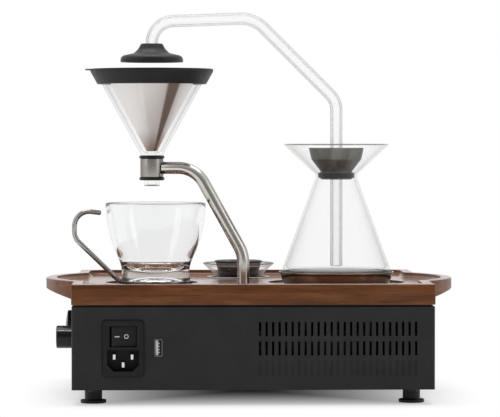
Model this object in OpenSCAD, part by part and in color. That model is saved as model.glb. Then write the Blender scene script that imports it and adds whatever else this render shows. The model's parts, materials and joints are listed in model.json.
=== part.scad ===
// Bedside coffee maker with an alarm clock: a low housing under a walnut tray, a boiling jug with a
// glass siphon pipe, a drip cone on a bent steel arm, a cup, and a cooled milk jug.
// The floor is z = 0. The back, with the mains inlet, faces -Y and the clock faces +Y.

/* [Housing] */
// Width of the housing
body_w = 284.5; // [278:0.5:300]
// Depth of the housing with its front panel
body_d = 265; // [258:0.5:280]
// Height of the housing walls
body_h = 65; // [64:0.5:75]
// Thickness of the sheet metal
wall = 1.5; // [1.2:0.1:1.8]
// Thickness of the front panel
panel_t = 2; // [1.5:0.1:3]
// Radius of the upright back edges
edge_r = 2; // [1.8:0.1:4]
// Width of the turned-in flanges
flange_w = 10; // [8:0.5:12]
// Thickness of the deck plate, which sets the tray off from the housing
deck_t = 1.5; // [1:0.1:3]
// How far the deck plate stays inside the housing outline
deck_inset = 3; // [2:0.5:5]
// Play between sheet metal pieces
fit = 0.1; // [0.05:0.05:0.2]
// Radial play of a turning or sliding shaft
run_gap = 0.05; // [0.02:0.01:0.1]
// Gap between pieces that move apart
body_gap = 0.3; // [0.2:0.05:0.5]

/* [Feet and screws] */
// Height of the feet
foot_h = 12; // [10:0.5:18]
// Radius of a foot
foot_r = 6.9; // [6:0.1:9]
// Radius of the flange that a foot stands on
foot_flange_r = 10.2; // [9.5:0.1:13]
// Height of that flange
foot_flange_h = 2.7; // [1.5:0.1:4]
// Distance of the foot centres from the sides of the housing
foot_in_x = 16.5; // [15:0.5:30]
// Distance of the foot centres from the front and back of the housing
foot_in_y = 26.5; // [25:0.5:40]
// Radius of a screw shank
screw_r = 1.5; // [1.2:0.1:1.8]
// Radius of a screw head
screw_head_r = 3; // [2.5:0.1:3.6]
// Height of a screw head
screw_head_h = 1.8; // [1.2:0.1:2.5]

/* [Tray] */
// How far the tray stands past the sides of the housing
tray_over_x = 0.25; // [0:0.05:2]
// How far the tray stands past the front and back of the housing
tray_over_y = 0.5; // [0:0.05:2]
// Thickness of the tray
tray_h = 16.2; // [14:0.1:22]
// Depth of the tray recess
tray_recess = 4; // [3:0.1:5]
// Width of the rim round the recess
tray_rim = 8.5; // [7:0.1:11]
// Corner radius of the recess
recess_r = 12; // [6:0.5:20]
// How far a carrying end bulges past the side of the tray
bulge_out = 24.5; // [16:0.5:32]
// Length of a carrying end where it meets the tray
bulge_chord = 152; // [120:1:190]
// Height of the tip of a carrying end above the bottom of the tray
bulge_lift = 8; // [5:0.5:10]
// Height of its root above the bottom of the tray
bulge_root = 1.2; // [0.5:0.1:3]
// Depth of the seats for the cup and the jug
seat_depth = 1.5; // [1:0.1:2]
// Radius of the seat for the cup
cup_seat_r = 38; // [36:0.5:46]
// Radius of the seat for the jug
jug_seat_r = 56; // [52:0.5:58]

/* [Layout] */
// Place of the cup, cone and jug row, front to back
row_y = -12; // [-20:0.5:0]
// Axis of the jug, left to right
jug_x = 71.5; // [66:0.5:76]
// Axis of the drip cone, left to right
drip_x = -80; // [-84:0.5:-76]
// Axis of the cup, left to right
cup_x = -77; // [-79:0.5:-75]
// Axis of the milk jug, left to right
milk_x = -7; // [-10:0.5:-4]
// Axis of the milk jug, front to back
milk_y = 72; // [66:0.5:76]
// Foot of the arm, left to right
arm_foot_x = -5.5; // [-8:0.5:0]
// Foot of the arm, front to back
arm_foot_y = -32; // [-40:0.5:-26]

/* [Heater] */
// Radius of the heater plate
heater_r = 42.5; // [39:0.5:46]
// Thickness of the heater plate
heater_t = 4; // [3:0.5:5]
// Width of the ledge under the heater plate
heater_ledge = 5.5; // [3:0.5:7]
// Outer radius of the coil
coil_r = 36; // [30:0.5:37]
// Inner radius of the coil
coil_bore = 14; // [8:0.5:20]
// Height of the coil winding
coil_h = 4; // [3:0.5:5]

/* [Jug] */
// Height of the steel base
jug_base_h = 10.3; // [8:0.1:14]
// Radius of the steel base at its foot
jug_foot_r = 43; // [41:0.1:45]
// Radius of the steel base at its top
jug_base_r = 47.4; // [47:0.1:49]
// Radius of the glass at its bottom
jug_bottom_r = 45; // [44:0.1:45.4]
// Height from the glass bottom to the neck
jug_body_h = 78.5; // [70:0.5:90]
// Outer radius of the neck
jug_neck_r = 16.3; // [15.5:0.1:18]
// Height of the funnel above the neck
jug_funnel_h = 25.8; // [22:0.1:30]
// Radius of the funnel rim
jug_rim_r = 44.2; // [40:0.1:46]
// Thickness of the jug glass
jug_wall = 1.7; // [1.4:0.1:2]
// Radius of the rounded bottom edge and neck
jug_round_r = 4; // [2:0.25:6]

/* [Stopper] */
// Height of the stopper lip above the neck
stopper_rise = 22.5; // [18:0.1:24]
// Radius of the stopper lip
stopper_lip_r = 22.6; // [21:0.1:24]
// Radius of the bowl at its widest turn
stopper_bowl_r = 20.5; // [19:0.1:21]
// Height of that turn above the neck
stopper_turn = 13; // [11:0.1:15]
// Radius of the plug in the neck
stopper_plug_r = 13; // [11.5:0.1:13.5]
// Depth of the plug below the neck
stopper_plug_h = 3.4; // [3:0.1:5]
// Height of the plug above the neck
stopper_plug_rise = 3.2; // [2.9:0.1:4]
// Sheet thickness of the stopper
stopper_t = 1.2; // [0.8:0.1:1.5]
// Height of the stopper seal
stopper_seal_h = 4.4; // [3.6:0.1:4.6]

/* [Pipe] */
// Outer radius of the glass pipe
pipe_r = 5; // [4.4:0.1:5.6]
// Wall of the glass pipe
pipe_wall = 1.4; // [1:0.1:1.8]
// Distance of the pipe end from the glass bottom inside the jug
pipe_foot = 2; // [1:0.5:6]
// Bend radius above the jug
pipe_knee_bend = 18; // [14:0.5:22]
// Bend radius at the top
pipe_top_bend = 26; // [18:0.5:30]
// Bend radius above the cap
pipe_drop_bend = 18; // [14:0.5:20]
// Slope of the slanting run
pipe_slope = 45; // [40:1:50]
// Length of the level run
pipe_level = 83.8; // [70:0.5:95]
// Rise of the level run towards the jug
pipe_fall = 3; // [0:0.5:6]
// Height of the level run above the cap
pipe_drop = 17.9; // [15:0.1:26]
// Radius of the cap
cap_r = 25.7; // [22:0.1:28]
// Height of the cap
cap_h = 15.2; // [14:0.1:20]
// Radius of the cap collar
cap_neck_r = 8.8; // [8:0.1:11]
// Gap between the filter and the cap
cap_gap = 5.5; // [4:0.5:10]

/* [Drip cone] */
// Height of the ring centre above the tray rim
ring_rise = 89.9; // [84:0.1:100]
// Outer radius of the ring
ring_r = 9.5; // [9:0.1:11]
// Height of the ring
ring_h = 15.4; // [13:0.1:18]
// Sheet thickness of the ring
ring_t = 1.5; // [1:0.1:1.8]
// Radius of the grommet flanges
grommet_r = 10.3; // [9.8:0.1:12]
// Thickness of a grommet flange
grommet_t = 2.5; // [1.5:0.1:3]
// Radius of the glass stem
stem_r = 6.5; // [6:0.1:7]
// Radius of the bore in the stem
stem_bore_r = 4; // [3:0.1:4.5]
// Length of the stem below the grommet
stem_end = 4.7; // [3:0.1:8]
// Radius of the cone above the grommet
cone_root_r = 9; // [8:0.1:10]
// Height of the glass cone
cone_h = 68.3; // [60:0.1:80]
// Half angle of the cone
cone_angle = 29; // [27:0.5:31]
// Wall of the cone
cone_wall = 2; // [1.6:0.1:2.4]
// Height of the collar
collar_h = 11.3; // [9:0.1:16]
// Thickness of the collar
collar_t = 3.2; // [2.5:0.1:4]
// Thickness of the lip on the collar
collar_lip = 0.9; // [0.6:0.1:1.5]
// Radius of the filter at its top
filter_r = 40; // [37:0.1:42]
// Radius of the filter at its bottom
filter_end_r = 4.3; // [3:0.1:5]
// Height of the filter bottom above the grommet
filter_lift = 3.5; // [3:0.1:8]
// Sheet thickness of the filter
filter_t = 0.7; // [0.5:0.1:1]
// Width of the filter rim
filter_rim = 7; // [6:0.1:8]
// Thickness of the filter rim
filter_rim_t = 1.2; // [0.8:0.1:1.6]
// How far the filter tab reaches past the rim
tab_out = 7.5; // [4:0.5:10]
// Width of the filter tab
tab_w = 14; // [8:0.5:20]

/* [Arm] */
// Outer radius of the arm tube
arm_r = 5; // [4.5:0.1:5.5]
// Wall of the arm tube
arm_wall = 1.2; // [0.8:0.1:1.6]
// Distance from the ring axis to the upper bend
arm_level = 37; // [34:0.5:42]
// Height of the lower bend above the tray rim
arm_knee_rise = 19.7; // [14:0.1:28]
// Radius of the upper bend
arm_top_bend = 25; // [18:0.5:28]
// Radius of the lower bend
arm_knee_bend = 28; // [20:0.5:34]
// Length of the threaded end below the deck
arm_thread = 10; // [8:0.5:14]

/* [Cup] */
// Height of the cup
cup_h = 66.8; // [62:0.1:68]
// Radius of the cup at its rim
cup_rim_r = 41.2; // [39:0.1:43]
// Radius of the cup at its waist
cup_waist_r = 27.8; // [26:0.1:28.5]
// Radius of the cup at its foot
cup_foot_r = 28.7; // [28:0.1:29.5]
// Height of the waist
cup_waist_h = 10.8; // [8:0.1:14]
// Thickness of the cup glass at its rim
cup_wall = 1.9; // [1.5:0.1:2.4]
// Height of the bottom inside the cup
cup_floor_h = 9.3; // [8.6:0.1:10.4]
// Radius of the handle rod
handle_r = 2; // [1.8:0.05:2.6]
// Reach of the handle from the cup axis
handle_reach = 66.5; // [64:0.5:74]
// Height at which the handle turns upright
handle_elbow = 38; // [34:0.5:42]
// Height of the handle top
handle_top = 61; // [58:0.5:64]
// Distance of the handle tip from the cup axis
handle_tip = 44.6; // [44:0.1:48]
// Bend radius of the handle
handle_bend = 12; // [9:0.5:12]
// Height of the band round the cup foot
band_h = 3; // [2:0.25:4]
// Thickness of that band
band_t = 1.4; // [1:0.1:2]

/* [Milk jug] */
// Height of the milk jug neck above the tray floor
milk_neck_h = 2; // [1.5:0.1:4]
// Outer radius of the neck
milk_neck_r = 19.3; // [18:0.1:20]
// Radius of the rim
milk_rim_r = 31.2; // [28:0.1:33]
// Height of the funnel
milk_funnel_h = 10.7; // [8:0.1:14]
// Radius of the bottom
milk_bottom_r = 22.8; // [21.5:0.1:23.2]
// Thickness of the glass
milk_wall = 1.5; // [1.2:0.1:1.8]
// Radius of the stopper at its top
milk_stopper_r = 20; // [18:0.1:22]
// Height of the stopper above the funnel rim
milk_stopper_rise = 1.9; // [1:0.1:4]
// Inner radius of the cooling well
well_r = 23.8; // [23.4:0.1:26]
// Depth of the cooling well below the tray floor
well_depth = 45; // [42:0.5:48]
// Wall of the cooling well
well_wall = 1; // [0.8:0.1:1.5]
// Width of the well flange
well_flange = 2; // [1.5:0.1:4]

/* [Back] */
// Distance of the inlet axis from the side of the housing
inlet_in = 40.3; // [36:0.1:46]
// Height of the inlet centre above the bottom of the housing
inlet_up = 32.6; // [30:0.1:36]
// Width of the inlet flange
inlet_w = 32; // [31:0.1:36]
// Height of the inlet flange
inlet_h = 43.8; // [43.5:0.1:48]
// Thickness of the inlet flange
inlet_t = 1.5; // [1:0.1:2.5]
// Width of the inlet body behind the flange
inlet_body_w = 27.2; // [27:0.1:30]
// Height of the inlet body behind the flange
inlet_body_h = 40.4; // [40:0.1:43]
// Depth of the inlet body
inlet_depth = 26; // [22:0.5:30]
// Width of the socket
socket_w = 24.8; // [24.4:0.1:25.2]
// Height of the socket
socket_h = 17.2; // [16.8:0.1:17.6]
// Depth of the socket
socket_depth = 16; // [15:0.5:18]
// Cut of the lower corners of the socket
socket_cut = 5; // [3:0.5:6]
// Distance between the two upper pins
pin_pitch = 14; // [13.5:0.1:14.5]
// Width of the rocker opening
rocker_open_w = 21.3; // [21:0.1:23]
// Height of the rocker opening
rocker_open_h = 16.4; // [15.8:0.1:17]
// Tilt of the rocker to either side
rocker_tilt = 9; // [6:0.5:10]
// Distance of the socket for charging from the inlet axis
usb_right = 27.6; // [26:0.1:32]
// Width of the charging socket
usb_w = 6; // [5.6:0.1:6.4]
// Height of the charging socket
usb_h = 13.2; // [12.8:0.1:13.6]
// Depth of the charging socket
usb_depth = 14; // [12:0.5:18]
// Width of a cooling slot
vent_w = 1.8; // [1.2:0.1:2.6]
// Height of a cooling slot
vent_h = 11; // [8:0.5:13]
// Distance between slots in a row
vent_pitch = 5.09; // [4.5:0.01:5.3]
// Distance between rows of slots
vent_row_pitch = 15.15; // [14:0.05:16]
// Slots in a row
vent_cols = 25; // [15:1:25]
// Distance of the last slot from the side of the housing
vent_in = 15; // [13:0.5:20]
// Height of the middle row above the bottom of the housing
vent_up = 32.5; // [30:0.5:35]
// Depth of the blind grooves that stand in for the lowest row
groove_depth = 0.5; // [0.3:0.1:0.8]

/* [Side controls] */
// Radius of the knob
knob_r = 9.05; // [7.5:0.05:11]
// Length of the knob
knob_len = 13.6; // [12:0.1:16]
// Place of the knob, front to back
knob_y = -68; // [-74:0.5:-58]
// Height of the knob axis above the bottom of the housing
knob_up = 37.6; // [32:0.1:42]
// Radius of the knob shaft
shaft_r = 3; // [2.5:0.1:3.2]
// Radius of the button
button_r = 12; // [10:0.1:14]
// How far the button stands out
button_out = 8; // [6:0.1:10]
// Travel of the button
button_travel = 2; // [1:0.1:2.5]
// Place of the button, front to back
button_y = -23; // [-28:0.5:-18]
// Height of the button axis above the bottom of the housing
button_up = 44.5; // [40:0.5:46]

/* [Front] */
// Width of the clock window
clock_w = 80; // [70:0.5:86]
// Height of the clock window
clock_h = 34; // [28:0.5:38]
// Distance of the clock window from the side of the housing
clock_in = 17.2; // [14:0.5:22]
// Height of the clock window centre above the bottom of the housing
clock_up = 33; // [30:0.5:36]
// How far the clock window stands proud of the front
clock_proud = 1.5; // [1:0.1:2.5]
// Thickness of a clock figure
figure_t = 0.4; // [0.3:0.1:0.6]
// Height of a clock figure
figure_h = 20; // [16:0.5:22]
// Width of the drawer front
drawer_w = 95; // [85:0.5:98]
// Height of the drawer front
drawer_h = 42; // [38:0.5:46]
// Distance of the drawer from the side of the housing
drawer_in = 12.2; // [11.5:0.1:16]
// Height of the drawer front above the bottom of the housing
drawer_up = 9; // [8.5:0.5:12]
// Depth of the drawer
drawer_d = 104; // [90:0.5:106]
// Wall of the drawer
drawer_wall = 2; // [1.5:0.1:2.5]
// Thickness of the drawer front
drawer_front_t = 4; // [3:0.1:5]
// Radius of the finger notch in the drawer front
notch_r = 11; // [9:0.5:14]

/* [Inside] */
// Width and height of the fan
fan_size = 60; // [54:0.5:61]
// Thickness of the fan
fan_t = 15; // [14:0.5:18]
// Radius of the fan hub
fan_hub_r = 15; // [12:0.5:17]
// Blades on the fan
fan_blades = 7; // [5:1:7]
// Thickness of a circuit board
board_t = 1.6; // [1.2:0.1:2]
// Height of the spacers under the circuit boards
spacer_h = 9; // [6:0.5:10]
// Width of the power board
power_w = 108; // [90:1:112]
// Depth of the power board
power_d = 78; // [70:1:80]
// Width of the control board
control_w = 74; // [60:1:76]
// Depth of the control board
control_d = 64; // [50:1:68]
// Width of the cooling tile
tile_w = 40; // [30:1:44]
// Thickness of the cooling tile
tile_t = 4; // [3:0.5:5]
// Thickness of the cold block
cold_h = 7; // [5:0.5:8]
// Width of the cooler heat sink
sink_w = 56; // [50:1:58]
// Radius of the speaker
speaker_r = 20; // [16:0.5:24]

/* [Hidden] */
$fn = 96;
eps = 0.5;
arc_steps = 6;
curve_steps = 14;
bend_steps = 8;
tube_sides = 24;
tip_turns = [30, 60, 80];
fine_edge = 0.3;
edge = 0.6;
soft_edge = 1;

walnut = "#6b4229";
body_black = "#232426";
soft_black = "#18181a";
steel = "#b4b0a8";
dark_steel = "#77787a";
clear_glass = "#dfe8ea";
pale_plastic = "#e6e6e2";
board_green = "#24533a";
copper = "#b5703c";
parts_blue = "#2d3a55";
aluminium = "#a9abad";

body_x = body_w / 2;
body_y = body_d / 2;
body_z0 = foot_h;
body_z1 = body_z0 + body_h;
plate_z1 = body_z0 + wall;
back_y = -body_y;
inner_x = body_x - wall;
inner_back = back_y + wall;
panel_back = body_y - panel_t;
foot_x = body_x - foot_in_x;
foot_y = body_y - foot_in_y;
foot_socket_r = screw_head_r + 0.5;
foot_socket_h = screw_head_h + 1.2;
flange_mid = wall + flange_w / 2;
screw_spare = 3;
tray_bite = 7;

tray_w = body_w + 2 * tray_over_x;
tray_d = body_d + 2 * tray_over_y;
tray_x = tray_w / 2;
tray_z0 = body_z1 + deck_t;
tray_z1 = tray_z0 + tray_h;
floor_z = tray_z1 - tray_recess;
seat_z = floor_z - seat_depth;
bulge_r = (pow(bulge_chord / 2, 2) + pow(bulge_out, 2)) / (2 * bulge_out);
bulge_c = tray_x + bulge_out - bulge_r;
coil_hole_r = heater_r + body_gap - heater_ledge;
coil_z0 = seat_z - heater_t - coil_h - body_gap;

jug_glass_rise = 0.5;
glass_z0 = seat_z + jug_base_h + jug_glass_rise;
jug_seal_h = 2.5;
jug_ledge_w = 5;
jug_dish_t = 1.5;
jug_floor_t = 2;
neck_z = glass_z0 + jug_body_h;
jug_rim_z = neck_z + jug_funnel_h;
jug_bore_r = jug_neck_r - jug_wall;
jug_lean = (jug_bottom_r - jug_neck_r) / jug_body_h;
jug_skin = jug_wall * sqrt(1 + jug_lean * jug_lean);
jug_inner_rim = [jug_rim_r - jug_skin - jug_wall * jug_lean, jug_rim_z];
jug_inner_neck = [jug_bore_r, neck_z];
jug_inner_bottom = [jug_bottom_r - jug_skin - jug_floor_t * jug_lean, glass_z0 + jug_floor_t];
jug_throat = round_corner(jug_inner_rim, jug_inner_neck, jug_inner_bottom, jug_round_r);
jug_throat_r = min([for (p = jug_throat) p[0]]);
lip_z = neck_z + stopper_rise;
plug_z0 = neck_z - stopper_plug_h;
plug_z1 = neck_z + stopper_plug_rise;
stopper_seal_z = neck_z - stopper_seal_h / 2;
stopper_seal_r = jug_throat_r - body_gap;
stopper_groove_r = stopper_plug_r - 2;
stopper_bend_r = 4;
tube_seal_r = pipe_r + 3;
tube_seal_lip = 1.5;

ring_z = tray_z1 + ring_rise;
ring_z0 = ring_z - ring_h / 2;
ring_z1 = ring_z + ring_h / 2;
grommet_z1 = ring_z1 + grommet_t;
stem_z0 = ring_z0 - grommet_t - stem_end;
cone_z0 = grommet_z1 + body_gap;
cone_z1 = cone_z0 + cone_h;
cone_rise = tan(cone_angle);
cone_rim_r = cone_root_r + cone_h * cone_rise;
cone_thick = cone_wall / cos(cone_angle);
collar_gap = 0.2;
collar_z1 = cone_z1 + collar_gap + collar_lip;
collar_z0 = collar_z1 - collar_h;
filter_z0 = grommet_z1 + filter_lift;
rim_z1 = collar_z1 + filter_rim_t;

cap_z0 = rim_z1 + cap_gap;
cap_z1 = cap_z0 + cap_h;
cap_skirt = 4;
pipe_end_z = cap_z0 + cap_skirt;
pipe_left_z = cap_z1 + pipe_drop;
pipe_corner_x = drip_x + pipe_level;
pipe_corner_z = pipe_left_z + pipe_fall;
pipe_knee_z = pipe_corner_z - (jug_x - pipe_corner_x) * tan(pipe_slope);
pipe_path = [
    [jug_x, glass_z0 + jug_floor_t + pipe_foot],
    [jug_x, pipe_knee_z],
    [pipe_corner_x, pipe_corner_z],
    [drip_x, pipe_left_z],
    [drip_x, pipe_end_z]
];
pipe_bends = [pipe_knee_bend, pipe_top_bend, pipe_drop_bend];

arm_turn = atan2(arm_foot_y - row_y, arm_foot_x - drip_x);
arm_reach = norm([arm_foot_x - drip_x, arm_foot_y - row_y]);
arm_path = [
    [ring_r - ring_t, ring_z],
    [arm_level, ring_z],
    [arm_reach, tray_z1 + arm_knee_rise],
    [arm_reach, body_z1 - arm_thread]
];

milk_neck_z = floor_z + milk_neck_h;
milk_rim_z = milk_neck_z + milk_funnel_h;
milk_bore_r = milk_neck_r - milk_wall;
well_z0 = floor_z - well_depth;
well_flange_t = 1;
well_round = 1;
well_hole_r = well_r + well_wall + body_gap;
milk_z0 = well_z0 + well_wall + body_gap;
milk_side_h = 8;
milk_floor_t = 2;
milk_neck_len = 4;
milk_round_r = 3;
milk_plug_r = milk_bore_r - 2 * body_gap;
milk_groove_r = milk_plug_r - 1.5;
milk_seal_h = 3;
milk_lid_t = 1.2;
milk_lid_drop = 1.5;

inlet_x = -body_x + inlet_in;
inlet_z = body_z0 + inlet_up;
inlet_y = back_y - inlet_t;
inlet_corner_r = 3;
inlet_split = 9.3;
rocker_z = inlet_z + inlet_split;
socket_z = inlet_z - inlet_split;
rocker_play = 0.5;
rocker_deep = 5.4;
rocker_axis_y = inlet_y + rocker_deep;
rocker_half = rocker_open_w / 2 - 2 * rocker_play;
rocker_tall = rocker_open_h - 2 * rocker_play;
rocker_pocket = 12;
trunnion_r = 1.5;
trunnion_in = 1;
pin_w = 2;
pin_h = 4;
pin_front = 3.5;
pin_tail = 8;
pin_row = 2.6;
usb_x = inlet_x + usb_right;
usb_rise = 0.5;
usb_z = inlet_z + usb_rise;
usb_t = 0.4;
usb_y = back_y - usb_t;
vent_x1 = body_x - vent_in;
vent_mid_x = vent_x1 - (vent_cols - 1) * vent_pitch / 2;

knob_z = body_z0 + knob_up;
knob_gap = 0.5;
knob_hub = knob_gap + knob_len - 2.5;
bush_r = shaft_r + 1.5;
bush_room = knob_gap + 4;
bush_out = 3;
encoder_d = 8;
encoder_back = 1;
button_z = body_z0 + button_up;
button_flange = 1.6;
button_rim = 6.2;
button_lap = 2;
stem_len = 10;
plunger_r = 3;

clock_x = -body_x + clock_in + clock_w / 2;
clock_z = body_z0 + clock_up;
clock_ledge = 3;
display_d = 9;
drawer_x = body_x - drawer_in - drawer_w / 2;
drawer_z0 = body_z0 + drawer_up;
drawer_gap = 0.5;
drawer_lap = 2;
drawer_box_w = drawer_w - 2 * drawer_lap;
drawer_box_h = drawer_h - 2 * drawer_lap;
drawer_box_z0 = drawer_z0 + drawer_lap / 2;
drawer_back = body_y - drawer_front_t - drawer_d;
runner_w = 6;
runner_t = 1.5;
runner_clear = 1;

fan_clear = 1;
fan_y0 = inner_back + flange_w + fan_clear;
fan_z = plate_z1 + fan_size / 2;
fan_bore_r = fan_size / 2 - 1.5;
fan_plate = 2.5;
fan_pin_r = 1.5;
fan_play = 0.5;
board_z = plate_z1 + spacer_h;
board_top = board_z + board_t;
power_right = 4;
power_clear = 6;
power_x = vent_mid_x + power_right;
power_y = fan_y0 + fan_t + power_clear + power_d / 2;
control_in = 24;
control_back = 44;
control_x = -body_x + control_in + control_w / 2;
control_y = back_y + control_back + control_d / 2;
speaker_gap = 30;
speaker_x = control_x;
speaker_y = control_y + control_d / 2 + speaker_gap + speaker_r;
spacer_in = 5;
spacer_r = 3;
cold_z0 = well_z0 - cold_h;
tile_z0 = cold_z0 - tile_t;
sink_base = 4;

// Outline helpers: a path is a list of [x, y, corner radius]
function unit(v) = v / norm(v);
function flat(p) = [p[0], p[1]];
function near_turn(a) = a > 180 ? a - 360 : a < -180 ? a + 360 : a;
function round_corner(p0, p1, p2, r) =
    r <= 0 ? [p1] :
    let (
        a = unit(p0 - p1),
        b = unit(p2 - p1),
        half = acos(a * b) / 2,
        middle = p1 + unit(a + b) * r / sin(half),
        from = p1 + a * r / tan(half) - middle,
        to = p1 + b * r / tan(half) - middle,
        start = atan2(from[1], from[0]),
        sweep = near_turn(atan2(to[1], to[0]) - start)
    )
    [for (i = [0 : arc_steps])
        let (turn = start + sweep * i / arc_steps)
        middle + r * [cos(turn), sin(turn)]];
function rounded(path) =
    let (n = len(path))
    [for (i = [0 : n - 1])
        each round_corner(flat(path[(i + n - 1) % n]), flat(path[i]), flat(path[(i + 1) % n]), path[i][2])];
function bezier(p0, p1, p2, p3) =
    [for (i = [0 : curve_steps])
        let (t = i / curve_steps, s = 1 - t)
        s * s * s * p0 + 3 * s * s * t * p1 + 3 * s * t * t * p2 + t * t * t * p3];

module lathe(path) {
    rotate_extrude() polygon(rounded(path));
}

module box_between(low, high) {
    translate(low) cube(high - low);
}

module rounded_plate(w, h, t, r) {
    linear_extrude(t)
        polygon(rounded([[-w / 2, -h / 2, r], [w / 2, -h / 2, r], [w / 2, h / 2, r], [-w / 2, h / 2, r]]));
}

// Stands a shape drawn in XY upright, so that its Y becomes Z and its thickness runs along +Y
module upright(x, y, z, t) {
    translate([x, y + t, z]) rotate([90, 0, 0]) children();
}

// Stations along a path in the XZ plane with a bend radius at each inner corner: [x, z, heading]
function heading(a, b) = atan2(b[1] - a[1], b[0] - a[0]);
function bend_stations(p0, p1, p2, r) =
    let (
        from = heading(p0, p1),
        sweep = near_turn(heading(p1, p2) - from),
        side = sign(sweep),
        cut = r * tan(abs(sweep) / 2),
        middle = p1 - cut * [cos(from), sin(from)] + side * r * [-sin(from), cos(from)]
    )
    [for (i = [0 : bend_steps])
        let (turn = from + sweep * i / bend_steps)
        [middle[0] + side * r * sin(turn), middle[1] - side * r * cos(turn), turn]];
function stations(path, bends) =
    let (last = len(path) - 1)
    [
        [each path[0], heading(path[0], path[1])],
        each [for (i = [1 : last - 1]) each bend_stations(path[i - 1], path[i], path[i + 1], bends[i - 1])],
        [each path[last], heading(path[last - 1], path[last])]
    ];
function station_ring(s, r) =
    [for (i = [0 : tube_sides - 1])
        let (a = 360 * i / tube_sides)
        [s[0] - r * cos(a) * sin(s[2]), r * sin(a), s[1] + r * cos(a) * cos(s[2])]];
function skin_faces(rings, at, step) =
    [for (k = [0 : rings - 2], i = [0 : tube_sides - 1])
        let (j = (i + step + tube_sides) % tube_sides, a = at + k * tube_sides, b = a + tube_sides)
        [a + i, a + j, b + j, b + i]];

// A round bar along a path, closed at both ends, with a rounded far end where tip is true
module bent_bar(path, bends, r, tip = false) {
    run = stations(path, bends);
    end = run[len(run) - 1];
    ahead = [cos(end[2]), sin(end[2])];
    cap = tip ? [for (t = tip_turns) [each flat(end) + r * sin(t) * ahead, end[2], t]] : [];
    rings = len(run) + len(cap);
    points = [
        each [for (s = run) each station_ring(s, r)],
        each [for (s = cap) each station_ring(s, r * cos(s[3]))]
    ];
    last = (rings - 1) * tube_sides;
    faces = [
        each skin_faces(rings, 0, 1),
        [for (i = [0 : tube_sides - 1]) tube_sides - 1 - i],
        [for (i = [0 : tube_sides - 1]) last + i]
    ];
    polyhedron(points, faces);
}

// A round tube along a path, open at both ends
module bent_tube(path, bends, r, bore) {
    run = stations(path, bends);
    rings = len(run);
    inner = rings * tube_sides;
    last = inner - tube_sides;
    points = [
        each [for (s = run) each station_ring(s, r)],
        each [for (s = run) each station_ring(s, bore)]
    ];
    ends = [for (i = [0 : tube_sides - 1])
        let (j = (i + 1) % tube_sides)
        each [[i, inner + i, inner + j, j], [last + i, last + j, inner + last + j, inner + last + i]]];
    faces = [
        each skin_faces(rings, 0, 1),
        each [for (f = skin_faces(rings, inner, 1)) [f[3], f[2], f[1], f[0]]],
        each ends
    ];
    polyhedron(points, faces);
}

module screw(length) {
    lathe([
        [0, -screw_head_h, 0], [screw_head_r, -screw_head_h, 0], [screw_head_r, 0, 0],
        [screw_r, 0, 0], [screw_r, length, 0], [0, length, 0]
    ]);
}

module at_feet() {
    for (x = [-foot_x, foot_x], y = [-foot_y, foot_y])
        translate([x, y, 0]) children();
}

// Places of the screws along the flanges
module at_flange_screws() {
    for (x = [-body_x + flange_mid, body_x - flange_mid], y = [-body_y / 3, body_y / 3])
        translate([x, y, 0]) children();
    for (x = [-foot_x, foot_x])
        translate([x, back_y + flange_mid, 0]) children();
}

// Housing
module case_outline(inset, front) {
    x = body_x - inset;
    y = back_y + inset;
    r = max(edge_r - inset, fine_edge);
    polygon(rounded([[-x, y, r], [x, y, r], [x, front, 0], [-x, front, 0]]));
}

module vent_rows() {
    for (row = [-1 : 1], col = [0 : vent_cols - 1]) {
        x = vent_x1 - col * vent_pitch;
        z = body_z0 + vent_up + row * vent_row_pitch;
        deep = row < 0 ? groove_depth : wall + eps;
        box_between(
            [x - vent_w / 2, back_y - eps, z - vent_h / 2],
            [x + vent_w / 2, back_y + deep, z + vent_h / 2]
        );
    }
}

module housing() {
    color(body_black) difference() {
        union() {
            translate([0, 0, body_z0]) linear_extrude(body_h) difference() {
                case_outline(0, panel_back);
                case_outline(wall, panel_back + eps);
            }
            for (z = [plate_z1 + fit, body_z1 - wall])
                translate([0, 0, z]) linear_extrude(wall) difference() {
                    case_outline(wall / 2, panel_back);
                    case_outline(wall + flange_w, panel_back + eps);
                }
        }
        vent_rows();
        box_between(
            [inlet_x - inlet_body_w / 2 - fit, back_y - eps, inlet_z - inlet_body_h / 2 - fit],
            [inlet_x + inlet_body_w / 2 + fit, inner_back + eps, inlet_z + inlet_body_h / 2 + fit]
        );
        box_between(
            [usb_x - usb_w / 2 - fit, back_y - eps, usb_z - usb_h / 2 - fit],
            [usb_x + usb_w / 2 + fit, inner_back + eps, usb_z + usb_h / 2 + fit]
        );
        along_side(knob_y, knob_z)
            translate([0, 0, -wall - eps]) cylinder(r = bush_r + fit, h = wall + 2 * eps);
        along_side(button_y, button_z)
            translate([0, 0, -wall - eps]) cylinder(r = button_r + body_gap, h = wall + 2 * eps);
        at_flange_screws() translate([0, 0, body_z0]) cylinder(r = screw_r + fit, h = body_h + eps);
    }
}

module front_panel() {
    inside = inner_x - flange_w - fit;
    color(body_black) difference() {
        union() {
            box_between([-body_x, panel_back, body_z0], [body_x, body_y, body_z1]);
            for (z = [plate_z1 + fit, body_z1 - wall])
                box_between([-inside, panel_back - flange_w, z], [inside, panel_back + wall / 2, z + wall]);
        }
        box_between(
            [clock_x - clock_w / 2 - fit, panel_back - eps, clock_z - clock_h / 2 - fit],
            [clock_x + clock_w / 2 + fit, body_y + eps, clock_z + clock_h / 2 + fit]
        );
        box_between(
            [drawer_x - drawer_w / 2 - drawer_gap, panel_back - eps, drawer_z0 - drawer_gap],
            [drawer_x + drawer_w / 2 + drawer_gap, body_y + eps, drawer_z0 + drawer_h + drawer_gap]
        );
    }
}

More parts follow.
